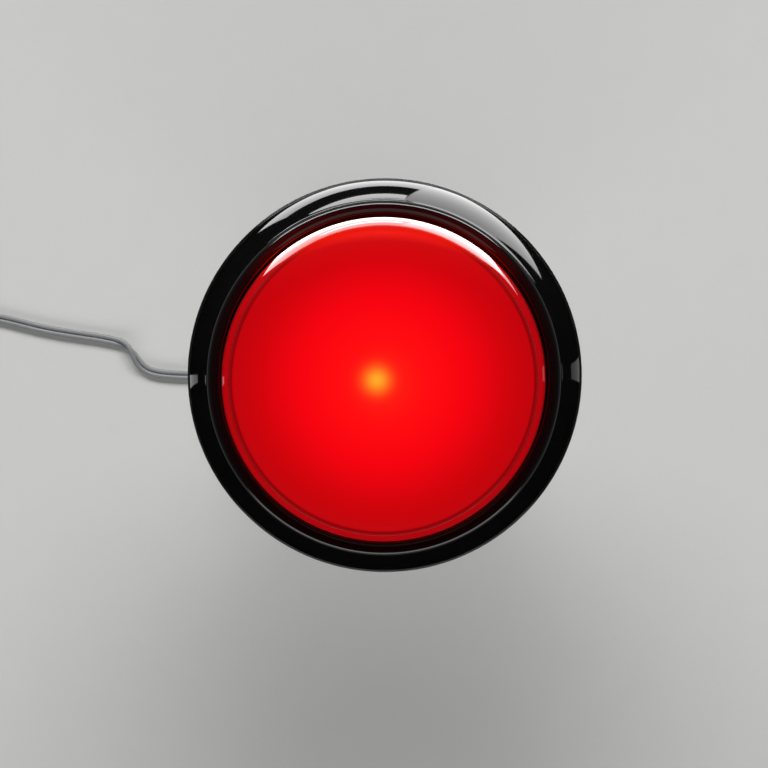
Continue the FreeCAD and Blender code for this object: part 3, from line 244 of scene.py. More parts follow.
# clear epoxy of the lamp: water-clear, with a sharp gloss
CLEAR_EPOXY = Finish(
    "clear_epoxy", "#F6F0E6", "#F0E8DA", 0.05, Surface.POLISHED, 4.0, 0.002, see_through=0.9
)
# painted board of the floor: pale and matt, with a faint mottle
PALE_BOARD = Finish("pale_floor", "#CFCFCD", "#CACAC8", 0.95, Surface.SPARKED, 0.9, 0.0, shine=0.0)
# velvet of the flag: takes all light
BLACK_VELVET = Finish("black_velvet", "#060606", "#040404", 1.0, Surface.SOFT, 1.0, 0.0, shine=0.0)

NODE_FINISHES: dict[str, Finish] = {
    "plunger_plate": WHITE_ABS,
    "lamp_base": WHITE_ABS,
    "lamp_led": CLEAR_EPOXY,
    "lamp_leads": TIN,
    "plug_pins": TIN,
    "lamp_holder": BLACK_NYLON,
    "lead_tie": BLACK_NYLON,
    "switch_case": BLACK_PHENOLIC,
    "switch_cover": BLACK_PHENOLIC,
    "switch_button": WHITE_ABS,
    "switch_lever": STEEL,
    "lever_pin": STEEL,
    "switch_blade": STEEL,
    "switch_tab_common": BRASS,
    "switch_tab_open": BRASS,
    "switch_tab_closed": BRASS,
    "lamp_contact_upper": BRASS,
    "lamp_contact_lower": BRASS,
    "receptacle_upper": BRASS,
    "receptacle_lower": BRASS,
    "sleeve_upper": CLEAR_VINYL,
    "sleeve_lower": CLEAR_VINYL,
    "lead_plug": CREAM_NYLON,
}


def start_fresh() -> None:
    """Leave edit mode and select nothing."""
    if bpy.context.mode != "OBJECT":
        bpy.ops.object.mode_set(mode="OBJECT")
    bpy.ops.object.select_all(action="DESELECT")


def edit_all() -> None:
    """Open the active piece for editing with all of it selected."""
    bpy.ops.object.mode_set(mode="EDIT")
    bpy.ops.mesh.select_all(action="SELECT")


def close_edit() -> None:
    """Merge doubles, turn faces outwards and leave edit mode."""
    bpy.ops.mesh.select_all(action="SELECT")
    bpy.ops.mesh.remove_doubles(threshold=WELD)
    bpy.ops.mesh.normals_make_consistent(inside=False)
    bpy.ops.object.mode_set(mode="OBJECT")


def trace(name: str, points: list[Vector]) -> bpy.types.Object:
    """Make a wire by extruding one vertex from point to point.

    Args:
        name: Name of the new piece.
        points: Places in the row frame, in order.

    Returns:
        The piece, still in edit mode.
    """
    start_fresh()
    bpy.ops.mesh.primitive_plane_add(size=MM)
    piece = bpy.context.object
    piece.name = piece.data.name = name
    edit_all()
    bpy.ops.mesh.merge(type="CENTER")
    bpy.ops.transform.translate(value=points[0])
    for before, after in zip(points, points[1:]):
        bpy.ops.mesh.extrude_region_move(TRANSFORM_OT_translate={"value": after - before})
    return piece


def lathe(name: str, outline: list[Point], edge: float) -> bpy.types.Object:
    """Turn an outline once round the Z axis and break its edges.

    Args:
        name: Name of the new piece.
        outline: Radius and height of each point; a solid's last one joins its first or lies on the axis.
        edge: Width that sharp edges are broken by.

    Returns:
        The turned piece.
    """
    piece = trace(name, [Vector((radius, 0, height)) for radius, height in outline])
    bpy.ops.mesh.select_all(action="SELECT")
    bpy.ops.mesh.spin(steps=TURN_STEPS, angle=math.tau, center=(0, 0, 0), axis=(0, 0, 1))
    close_edit()
    if edge:
        bevel = piece.modifiers.new("broken_edges", "BEVEL")
        bevel.width = edge
        bevel.segments = EDGE_STEPS
        bevel.limit_method = "ANGLE"
        bevel.angle_limit = BREAK_ABOVE
        bpy.ops.object.modifier_apply(modifier=bevel.name)
    bpy.ops.object.shade_smooth_by_angle(angle=SMOOTH_BELOW)
    return piece


def block(name: str, low: Place, high: Place) -> bpy.types.Object:
    """Make a block between two corners, with its place in its mesh.

    Args:
        name: Name of the new piece.
        low: Lowest corner.
        high: Highest corner.

    Returns:
        The block, with sharp edges.
    """
    start_fresh()
    bpy.ops.mesh.primitive_cube_add(size=1)
    piece = bpy.context.object
    piece.name = piece.data.name = name
    edit_all()
    bpy.ops.transform.resize(value=Vector(high) - Vector(low))
    bpy.ops.transform.translate(value=(Vector(high) + Vector(low)) / 2)
    bpy.ops.object.mode_set(mode="OBJECT")
    return piece


def join(base: bpy.types.Object, others: list[bpy.types.Object]) -> None:
    """Join several pieces into the first.

    Args:
        base: Piece that takes in the others.
        others: Pieces that are used up.
    """
    start_fresh()
    for piece in [base, *others]:
        piece.select_set(True)
    bpy.context.view_layer.objects.active = base
    bpy.ops.object.join()


def wind(piece: bpy.types.Object, pitch: float, turns: int, steps: int) -> None:
    """Wind the active piece's section up round the Z axis into a helix.

    Args:
        piece: The active piece, a section beside the axis.
        pitch: Rise of one turn.
        turns: Number of turns.
        steps: Number of steps in a turn.
    """
    screw = piece.modifiers.new("wind", "SCREW")
    screw.screw_offset = pitch
    screw.iterations = turns
    screw.steps = screw.render_steps = steps
    bpy.ops.object.modifier_apply(modifier=screw.name)


class Working(Enum):
    """How one solid is worked into another."""

    CUT = "DIFFERENCE"
    FUSE = "UNION"


def work_in(base: bpy.types.Object, tool: bpy.types.Object, way: Working) -> None:
    """Cut a closed shape out of a piece or fuse it on, and use the shape up.

    Args:
        base: Piece that is changed.
        tool: Closed shape that is used up.
        way: Whether it is cut out or fused on.
    """
    start_fresh()
    bpy.context.view_layer.objects.active = base
    base.select_set(True)
    change = base.modifiers.new("working", "BOOLEAN")
    change.operation = way.value
    change.object = tool
    bpy.ops.object.modifier_apply(modifier=change.name)
    bpy.data.objects.remove(tool)
    edit_all()
    bpy.ops.mesh.dissolve_degenerate(threshold=SLIVER)
    bpy.ops.object.mode_set(mode="OBJECT")
    bpy.ops.object.shade_smooth_by_angle(angle=SMOOTH_BELOW)


def ring_of(piece: bpy.types.Object, count: int) -> bpy.types.Object:
    """Copy the active piece to equal turns round the Z axis, in its own mesh.

    Args:
        piece: The active piece, at its first place.
        count: How many there are in all.

    Returns:
        The same piece with all its copies.
    """
    edit_all()
    for _ in range(count - 1):
        bpy.ops.mesh.duplicate()
        bpy.ops.transform.rotate(value=math.tau / count, orient_axis="Z", center_override=(0, 0, 0))
    bpy.ops.object.mode_set(mode="OBJECT")
    return piece


def pick(piece: bpy.types.Object, wanted: Callable[[Vector], bool]) -> None:
    """Open a piece for editing with the vertices selected whose place fits.

    Args:
        piece: The active piece.
        wanted: Test of a vertex's place.
    """
    edit_all()
    bpy.ops.mesh.select_all(action="DESELECT")
    bpy.ops.object.mode_set(mode="OBJECT")
    for vertex in piece.data.vertices:
        vertex.select = wanted(vertex.co)
    bpy.ops.object.mode_set(mode="EDIT")


def dress(piece: bpy.types.Object, material: bpy.types.Material) -> None:
    """Give a piece one material all over."""
    piece.data.materials.clear()
    piece.data.materials.append(material)


def arc(start: Point, stop: Point, radius: float, steps: int) -> list[Point]:
    """Points of an arc that bulges to the right of the way from start to stop.

    Args:
        start: First point.
        stop: Last point.
        radius: Radius of the arc; a negative one bulges to the left.
        steps: Number of equal turns.

    Returns:
        The points after the first one, up to and with the last.
    """
    a, b = Vector(start), Vector(stop)
    half = (b - a).length / 2
    side = math.copysign(1.0, radius)
    left = Vector((a.y - b.y, b.x - a.x)).normalized()
    centre = (a + b) / 2 + left * side * math.sqrt(radius**2 - half**2)
    turn = 2 * math.asin(half / abs(radius)) * side
    first = math.atan2(a.y - centre.y, a.x - centre.x)
    angles = [first + turn * i / steps for i in range(1, steps + 1)]
    return [(centre.x + abs(radius) * math.cos(t), centre.y + abs(radius) * math.sin(t)) for t in angles]


def arc_radius(width: float, rise: float) -> float:
    """Radius of the arc that starts along an axis and reaches a width and a rise from there."""
    return (width**2 + rise**2) / (2 * width)


def ease(share: float) -> float:
    """Step from 0 to 1 that starts and ends softly."""
    return share * share * (3 - 2 * share)


@dataclass
class Bezel:
    """Black bezel dish with its well, its ribbed back and its threaded stem."""

    radius: float = 50.0 * MM
    ridge_radius: float = 43.0 * MM
    bore: float = 41.0 * MM
    ridge_height: float = 19.0 * MM
    ridge_inset: float = 1.2 * MM
    ridge_fall: float = 1.5 * MM
    ridge_round: float = 1.8 * MM
    ridge_steps: int = 8
    land_drop: float = 0.6 * MM
    lip_chamfer: float = 0.3 * MM
    rim_height: float = 1.2 * MM
    rim_chamfer: float = 0.25 * MM
    rim_step: float = 0.45 * MM
    flank_bulge: float = 40.0 * MM
    flank_steps: int = 24
    edge: float = 0.12 * MM
    shell_wall: float = 2.4 * MM
    channel_depth: float = 12.0 * MM
    channel_top: float = 1.2 * MM
    floor_height: float = 3.0 * MM
    recess: float = 0.8 * MM
    stop_radii: Point = (14.0 * MM, 17.0 * MM)
    stop_height: float = 5.4 * MM
    stem_radius: float = 11.8 * MM
    thread_depth: float = 0.75 * MM
    thread_pitch: float = 2.5 * MM
    thread_sunk: float = 0.3 * MM
    thread_steps: int = 72
    tooth_shares: Place = (0.42, 0.36, 0.08)
    thread_top: float = -3.0 * MM
    thread_end: float = -30.5 * MM
    stem_end: float = -34.0 * MM
    spring_bore: float = 10.2 * MM
    spring_seat: float = -12.0 * MM
    guide_bore: float = 8.9 * MM
    hook_ledge: float = -28.0 * MM
    lower_bore: float = 10.0 * MM
    rib_count: int = 12
    rib_wall: float = 1.5 * MM
    slot_half: float = 1.7 * MM
    slot_height: float = 2.8 * MM

    def outline(self) -> list[Point]:
        """Work out the moulding's section.

        Returns:
            Radius and height of each point, once round and back to the start.
        """
        root = self.stem_radius - self.thread_depth
        flank_foot = (self.radius - self.rim_step, self.rim_height)
        flank_top = (self.ridge_radius + self.ridge_inset, self.ridge_height - self.ridge_fall)
        ridge = (self.ridge_radius, self.ridge_height)
        land_end = self.ridge_height - self.land_drop
        return [
            (self.lower_bore, self.stem_end),
            (self.stem_radius, self.stem_end),
            (self.stem_radius, self.thread_end),
            (root, self.thread_end + self.thread_depth),
            (root, self.thread_top),
            (self.stem_radius, self.thread_top + self.thread_depth),
            (self.stem_radius, self.recess),
            (self.ridge_radius, self.recess),
            (self.ridge_radius, self.channel_depth),
            (self.ridge_radius + self.channel_top, self.channel_depth),
            (self.radius - self.shell_wall, 0),
            (self.radius, 0),
            (self.radius, self.rim_height - self.rim_chamfer),
            (self.radius - self.rim_chamfer, self.rim_height),
            flank_foot,
            *arc(flank_foot, flank_top, self.flank_bulge, self.flank_steps),
            *arc(flank_top, ridge, self.ridge_round, self.ridge_steps),
            (self.bore + self.lip_chamfer, land_end),
            (self.bore, land_end - self.lip_chamfer),
            (self.bore, self.floor_height),
            (self.stop_radii[1], self.floor_height),
            (self.stop_radii[1], self.stop_height),
            (self.stop_radii[0], self.stop_height),
            (self.stop_radii[0], self.floor_height),
            (self.spring_bore, self.floor_height),
            (self.spring_bore, self.spring_seat),
            (self.guide_bore, self.spring_seat),
            (self.guide_bore, self.hook_ledge),
            (self.lower_bore, self.hook_ledge),
            (self.lower_bore, self.stem_end),
        ]

    def thread(self) -> bpy.types.Object:
        """Wind the thread's tooth down the stem.

        Returns:
            The helical tooth, sunk a little into the stem.
        """
        root = self.stem_radius - self.thread_depth
        half = self.thread_pitch / 2
        low = self.thread_end + self.thread_depth + half
        turns = int((self.thread_top - low - half) / self.thread_pitch)
        radii = (root - self.thread_sunk, root, self.stem_radius)
        upper = [(radius, share * self.thread_pitch) for radius, share in zip(radii, self.tooth_shares)]
        tooth = [(radius, -height) for radius, height in upper] + upper[::-1]
        points = [Vector((radius, 0, low + height)) for radius, height in tooth + tooth[:1]]
        piece = trace("stem_thread", points)
        close_edit()
        wind(piece, self.thread_pitch, turns, self.thread_steps)
        edit_all()
        bpy.ops.mesh.fill_holes(sides=0)
        close_edit()
        bpy.ops.object.shade_smooth_by_angle(angle=SMOOTH_BELOW)
        return piece

    def ribs(self) -> bpy.types.Object:
        """Make the stiffening ribs across the channel behind the flank.

        Returns:
            All ribs as one piece.
        """
        half_wall = self.shell_wall / 2
        low = (self.ridge_radius - half_wall, -self.rib_wall / 2, self.recess)
        high = (self.radius - half_wall, self.rib_wall / 2, self.channel_depth + half_wall)
        rib = block("channel_ribs", low, high)
        pick(rib, lambda at: at.x > self.ridge_radius and at.z > self.channel_depth)
        lean = self.ridge_radius + self.channel_top - self.radius + self.shell_wall
        bpy.ops.transform.translate(value=(lean, 0, 0))
        bpy.ops.object.mode_set(mode="OBJECT")
        return ring_of(rib, self.rib_count)

    def build(self) -> bpy.types.Object:
        """Turn the moulding, cut its bayonet slots, and add ribs and thread.

        Returns:
            The finished housing.
        """
        piece = lathe("bezel", self.outline(), self.edge)
        reach = self.stem_radius + CUT_PAST
        low = (-reach, -self.slot_half, self.stem_end - CUT_PAST)
        high = (reach, self.slot_half, self.stem_end + self.slot_height)
        work_in(piece, block("bayonet_cutter", low, high), Working.CUT)
        work_in(piece, self.ribs(), Working.FUSE)
        work_in(piece, self.thread(), Working.FUSE)
        dress(piece, BLACK_ABS.material())
        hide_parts("bezel_housing")
        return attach(piece, "housing")


@dataclass(frozen=True)
class PaintedGlowAcrylic:
    """Red acrylic with the lamp's light painted on as glow: glossy, painted brightest over the lamp and
    painted darker towards the crease.

    Attributes:
        painted_glow: Distance from the dome's axis in millimetres, and the colour of the glow painted
            there.
        painted_spot: Colour of the lamp's warm spot, painted at its middle.
        painted_spot_fade: Distance over which the painted spot fades, as a bell curve does.
        painted_rear_light: Distance from painted_light_from in millimetres, and the rear lamps' light
            painted on the rear edge there.
        lamp_at: Where the lamp's painted spot sits, off the axis.
        painted_light_from: The point before the axis that the painted rear light's distances are taken
            from.
        body: Colour of the acrylic itself.
        roughness: Roughness of its polished face.
        ior: Its refractive index.
    """

    painted_glow: Stops = (
        # painted glow of the cap, brightest over the lamp and painted darker towards its edge
        (0.0, "#FF2010"),
        (10.0, "#FE0A0C"),
        (20.0, "#F2010A"),
        (30.0, "#CC0105"),
        (36.5, "#BA0105"),
        # the crease: painted shade in the groove, a painted highlight on its lip and painted shade below
        # the lip
        (36.95, "#700002"),
        (37.35, "#900808"),
        (37.6, "#780204"),
        # the shoulder, with painted shade darkening it down into the bezel
        (37.9, "#AE0409"),
        (38.9, "#AE050B"),
        (39.8, "#460204"),
    )
    # painted light: the lamp's warm spot, painted on as emission
    painted_spot: str = "#FFA822"
    painted_spot_fade: float = 2.7 * MM
    # painted light: the rear lamps' light on the dome's rear edge, painted on as emission
    painted_rear_light: Stops = (
        (49.0, "#000000"),
        (54.0, "#5A0502"),
        (56.2, "#DC1604"),
        (57.6, "#D01A08"),
        (60.0, "#701008"),
    )
    lamp_at: Place = (-1.4 * MM, 0.6 * MM, 0.0)
    painted_light_from: Place = (0.0, -20.0 * MM, 0.0)
    body: str = "#3A0004"
    roughness: float = 0.07
    ior: float = 1.49

    def distance(self, tree: bpy.types.NodeTree, centre: Place) -> bpy.types.NodeSocket:
        """Distance from an upright line.

        Args:
            tree: Node tree that gets the nodes.
            centre: Foot of the line.

        Returns:
            The distance output, in metres.
        """
        where = add_node(tree, "ShaderNodeTexCoord").outputs["Object"]
        moved = add_node(
            tree, "ShaderNodeVectorMath", {0: where, 1: centre}, operation="SUBTRACT"
        ).outputs["Vector"]
        flat = add_node(
            tree, "ShaderNodeVectorMath", {0: moved, 1: (1.0, 1.0, 0.0)}, operation="MULTIPLY"
        ).outputs["Vector"]
        return add_node(tree, "ShaderNodeVectorMath", {0: flat}, operation="LENGTH").outputs["Value"]

    def ramp(self, tree: bpy.types.NodeTree, centre: Place, stops: Stops) -> bpy.types.NodeSocket:
        """Colour by distance from an upright line.

        Args:
            tree: Node tree that gets the nodes.
            centre: Foot of the line.
            stops: Distances in millimetres with their colours.

        Returns:
            The colour output.
        """
        reach = stops[-1][0]
        far = self.distance(tree, centre)
        share = add_node(tree, "ShaderNodeMath", {0: far, 1: reach * MM}, operation="DIVIDE")
        ramp = add_node(tree, "ShaderNodeValToRGB", {"Fac": share.outputs[0]})
        colours = ramp.color_ramp
        while len(colours.elements) < len(stops):
            colours.elements.new(1.0)
        for element, (distance, code) in zip(colours.elements, stops):
            element.position = distance / reach
            element.color = linear(code)
        return ramp.outputs["Color"]

    def bell(self, tree: bpy.types.NodeTree) -> bpy.types.NodeSocket:
        """Share of the lamp's painted warm spot: one at its middle, and falling off as a bell curve.

        Args:
            tree: Node tree that gets the nodes.

        Returns:
            The share's output.
        """
        far = self.distance(tree, self.lamp_at)
        steps = add_node(tree, "ShaderNodeMath", {0: far, 1: self.painted_spot_fade}, operation="DIVIDE")
        square = add_node(tree, "ShaderNodeMath", {0: steps.outputs[0], 1: 2.0}, operation="POWER")
        fall = {0: 1 / math.e, 1: square.outputs[0]}
        return add_node(tree, "ShaderNodeMath", fall, operation="POWER").outputs[0]

    def material(self) -> bpy.types.Material:
        """Build the dome's material.

        Returns:
            The new material.
        """
        made = bpy.data.materials.new("red_acrylic_painted_glow")
        made.use_nodes = True
        tree = made.node_tree
        shader = tree.nodes["Principled BSDF"]
        # painted light: the dome's glow by distance from its axis, with the lamp's painted warm spot and
        # the rear lamps' painted light screened over it, all shown as emission
        light = self.ramp(tree, (0.0, 0.0, 0.0), self.painted_glow)
        edge = self.ramp(tree, self.painted_light_from, self.painted_rear_light)
        for share, extra in ((self.bell(tree), linear(self.painted_spot)), (1.0, edge)):
            both = {"Factor": share, COLOUR_A: light, COLOUR_B: extra}
            mix = add_node(tree, "ShaderNodeMix", both, data_type="RGBA", blend_type="SCREEN")
            light = mix.outputs[COLOUR_OUT]
        tree.links.new(light, shader.inputs["Emission Color"])
        shader.inputs["Emission Strength"].default_value = 1.0
        shader.inputs["Base Color"].default_value = linear(self.body)
        shader.inputs["Roughness"].default_value = self.roughness
        shader.inputs["IOR"].default_value = self.ior
        return made


@dataclass
class Dome:
    """Red dome: skirt, steep shoulder, crease ring and shallow cap, with lugs under its plate."""

    radius: float = 39.8 * MM
    wall: float = 2.0 * MM
    skirt: float = 8.0 * MM
    shoulder: float = 23.5 * MM
    crease_radius: float = 37.2 * MM
    crease_height: float = 31.0 * MM
    crease_half: float = 0.45 * MM
    crease_depth: float = 0.15 * MM
    cap_rise: float = 7.5 * MM
    cap_steps: int = 48
    inner_steps: int = 24
    shoulder_steps: int = 16
    edge: float = 0.1 * MM
    ledge_bottom: float = 11.6 * MM
    ledge_height: float = 1.2 * MM
    ledge_bore: float = 36.6 * MM
    lug_height: float = 1.4 * MM
    lug_width: float = 8.0 * MM
    lug_count: int = 6

    def outline(self) -> list[Point]:
        """Work out the dome's section.

        Returns:
            Radius and height of each point, from the apex down the outside and up the inside.
        """
        bore = self.radius - self.wall
        apex = self.crease_height + self.cap_rise
        cap_edge = (self.crease_radius - self.crease_half, self.crease_height)
        lip = (self.crease_radius + self.crease_half, self.crease_height)
        foot = (self.radius, self.shoulder)
        inner_edge = cap_edge[0] - self.wall
        inner_apex = apex - self.wall
        inner_foot = (inner_edge, inner_apex - self.cap_rise)
        cap_round = arc_radius(self.cap_rise, cap_edge[0])
        inner_round = arc_radius(self.cap_rise, inner_edge)
        shoulder_round = arc_radius(self.radius - lip[0], self.crease_height - self.shoulder)
        top = self.ledge_bottom + self.ledge_height
        return [
            (0, apex),
            *arc((0, apex), cap_edge, -cap_round, self.cap_steps),
            (self.crease_radius, self.crease_height - self.crease_depth),
            lip,
            *arc(lip, foot, -shoulder_round, self.shoulder_steps),
            (self.radius, self.skirt),
            (bore, self.skirt),
            (bore, self.ledge_bottom),
            (self.ledge_bore, self.ledge_bottom),
            (self.ledge_bore, top),
            (bore, top + bore - self.ledge_bore),
            (bore, self.shoulder),
            inner_foot,
            *arc(inner_foot, (0, inner_apex), inner_round, self.inner_steps),
        ]

    def lugs(self) -> bpy.types.Object:
        """Make the snap lugs inside the skirt that hold the carrier's plate.

        Returns:
            All lugs as one piece.
        """
        low = (self.ledge_bore, -self.lug_width / 2, self.skirt)
        high = (self.radius - self.wall / 2, self.lug_width / 2, self.skirt + self.lug_height)
        return ring_of(block("dome_lugs", low, high), self.lug_count)

    def build(self) -> bpy.types.Object:
        """Turn the dome and add its lugs.

        Returns:
            The finished dome.
        """
        piece = lathe("dome", self.outline(), self.edge)
        work_in(piece, self.lugs(), Working.FUSE)
        dress(piece, PaintedGlowAcrylic().material())
        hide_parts("dome_lens")
        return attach(piece, "plunger")


@dataclass
class ReturnSpring:
    """Compression spring round the carrier's tube, wound at rest; the real one shortens as the dome goes
    down.
    """

    mean_radius: float = 9.5 * MM
    wire_radius: float = 0.45 * MM
    wire_sides: int = 14
    turn_steps: int = 56
    seat_gap: float = 0.05 * MM
    bottom: float = -12.0 * MM
    top: float = 9.5 * MM
    open_turns: int = 4
    closed_pitch: float = 0.95 * MM
    travel: float = 4.0 * MM

    def turns(self, start: float, pitch: float, count: int) -> bpy.types.Object:
        """Wind some turns of one pitch.

        Args:
            start: Height at which the wire's middle starts.
            pitch: Rise of one turn.
            count: Number of turns.

        Returns:
            The turns as an open tube.
        """
        start_fresh()
        bpy.ops.mesh.primitive_circle_add(vertices=self.wire_sides, radius=self.wire_radius)
        piece = bpy.context.object
        edit_all()
        bpy.ops.transform.rotate(value=math.pi / 2, orient_axis="X", center_override=(0, 0, 0))
        bpy.ops.transform.translate(value=(self.mean_radius, 0, start))
        bpy.ops.object.mode_set(mode="OBJECT")
        wind(piece, pitch, count, self.turn_steps)
        return piece

    def build(self) -> bpy.types.Object:
        """Wind the spring.

        Returns:
            The finished spring.
        """
        low = self.bottom + self.wire_radius + self.seat_gap
        high = self.top - self.wire_radius - self.seat_gap
        pitch = (high - low - 2 * self.closed_pitch) / self.open_turns
        piece = self.turns(low, self.closed_pitch, 1)
        piece.name = piece.data.name = "spring"
        middle = self.turns(low + self.closed_pitch, pitch, self.open_turns)
        join(piece, [middle, self.turns(high - self.closed_pitch, self.closed_pitch, 1)])
        edit_all()
        bpy.ops.mesh.remove_doubles(threshold=WELD)
        bpy.ops.mesh.fill_holes(sides=0)
        close_edit()
        bpy.ops.object.shade_smooth_by_angle(angle=WIRE_SMOOTH_BELOW)
        dress(piece, STEEL.material())
        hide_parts("return_spring")
        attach(piece, "housing")
        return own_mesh(piece)


@dataclass
class PanelNut:
    """Flanged hexagon nut with chamfered corners, and teeth on its flange that grip the panel."""

    bore: float = 11.95 * MM
    flange_radius: float = 18.95 * MM
    flange_height: float = 2.0 * MM
    flat: float = 16.95 * MM
    top: float = -3.5 * MM
    height: float = 8.0 * MM
    chamfer_degrees: float = 30.0
    corner_round: float = 0.3 * MM
    edge: float = 0.2 * MM
    tooth_count: int = 24
    tooth_height: float = 0.5 * MM
    tooth_width: float = 1.0 * MM
    tooth_inset: float = 0.8 * MM

    def hexagon(self) -> bpy.types.Object:
        """Make the hexagon with its lower corners turned off.

        Returns:
            The hexagon, not yet bored.
        """
        low = self.top - self.height
        depth = self.height - self.flange_height / 2
        corner = self.flat / math.cos(math.pi / 6)
        outside = corner + CUT_PAST
        start_fresh()
        bpy.ops.mesh.primitive_cylinder_add(vertices=6, radius=corner, depth=depth)
        piece = bpy.context.object
        edit_all()
        bpy.ops.transform.translate(value=(0, 0, low + depth / 2))
        bpy.ops.transform.rotate(value=math.pi / 6, orient_axis="Z", center_override=(0, 0, 0))
        bpy.ops.mesh.bevel(offset=self.corner_round, segments=EDGE_STEPS)
        close_edit()
        rise = (outside - self.flat) * math.tan(math.radians(self.chamfer_degrees))
        below = low - CUT_PAST
        ring = [(self.flat, below), (outside, below), (outside, low + rise), (self.flat, low)]
        work_in(piece, lathe("nut_chamfer", [*ring, ring[0]], 0.0), Working.CUT)
        return piece

    def teeth(self) -> bpy.types.Object:
        """Make the teeth, each sloping down towards the flange's edge.

        Returns:
            All teeth as one piece.
        """
        outer = self.flange_radius - self.tooth_inset
        low = (self.flat, -self.tooth_width / 2, self.top - self.flange_height / 2)
        high = (outer, self.tooth_width / 2, self.top)
        tooth = block("nut_teeth", low, high)
        pick(tooth, lambda at: at.x > outer - WELD and at.z > self.top - WELD)
        bpy.ops.transform.translate(value=(0, 0, -self.tooth_height))
        bpy.ops.object.mode_set(mode="OBJECT")
        return ring_of(tooth, self.tooth_count)

    def build(self) -> bpy.types.Object:
        """Turn the flange, fuse the hexagon and the teeth to it and bore it.

        Returns:
            The finished nut.
        """
        low, high = self.top - self.flange_height, self.top - self.tooth_height
        disc = [(0.0, low), (self.flange_radius, low), (self.flange_radius, high), (0.0, high)]
        piece = lathe("nut", disc, self.edge)
        work_in(piece, self.hexagon(), Working.FUSE)
        work_in(piece, self.teeth(), Working.FUSE)
        start_fresh()
        bpy.ops.mesh.primitive_cylinder_add(vertices=TURN_STEPS, radius=self.bore, depth=4 * self.height)
        work_in(piece, bpy.context.object, Working.CUT)
        dress(piece, BLACK_NYLON.material())
        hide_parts("panel_nut")
        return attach(piece, "housing")


class Course(Enum):
    """How a curve runs between its points."""

    SMOOTH = "NURBS"
    STRAIGHT = "POLY"


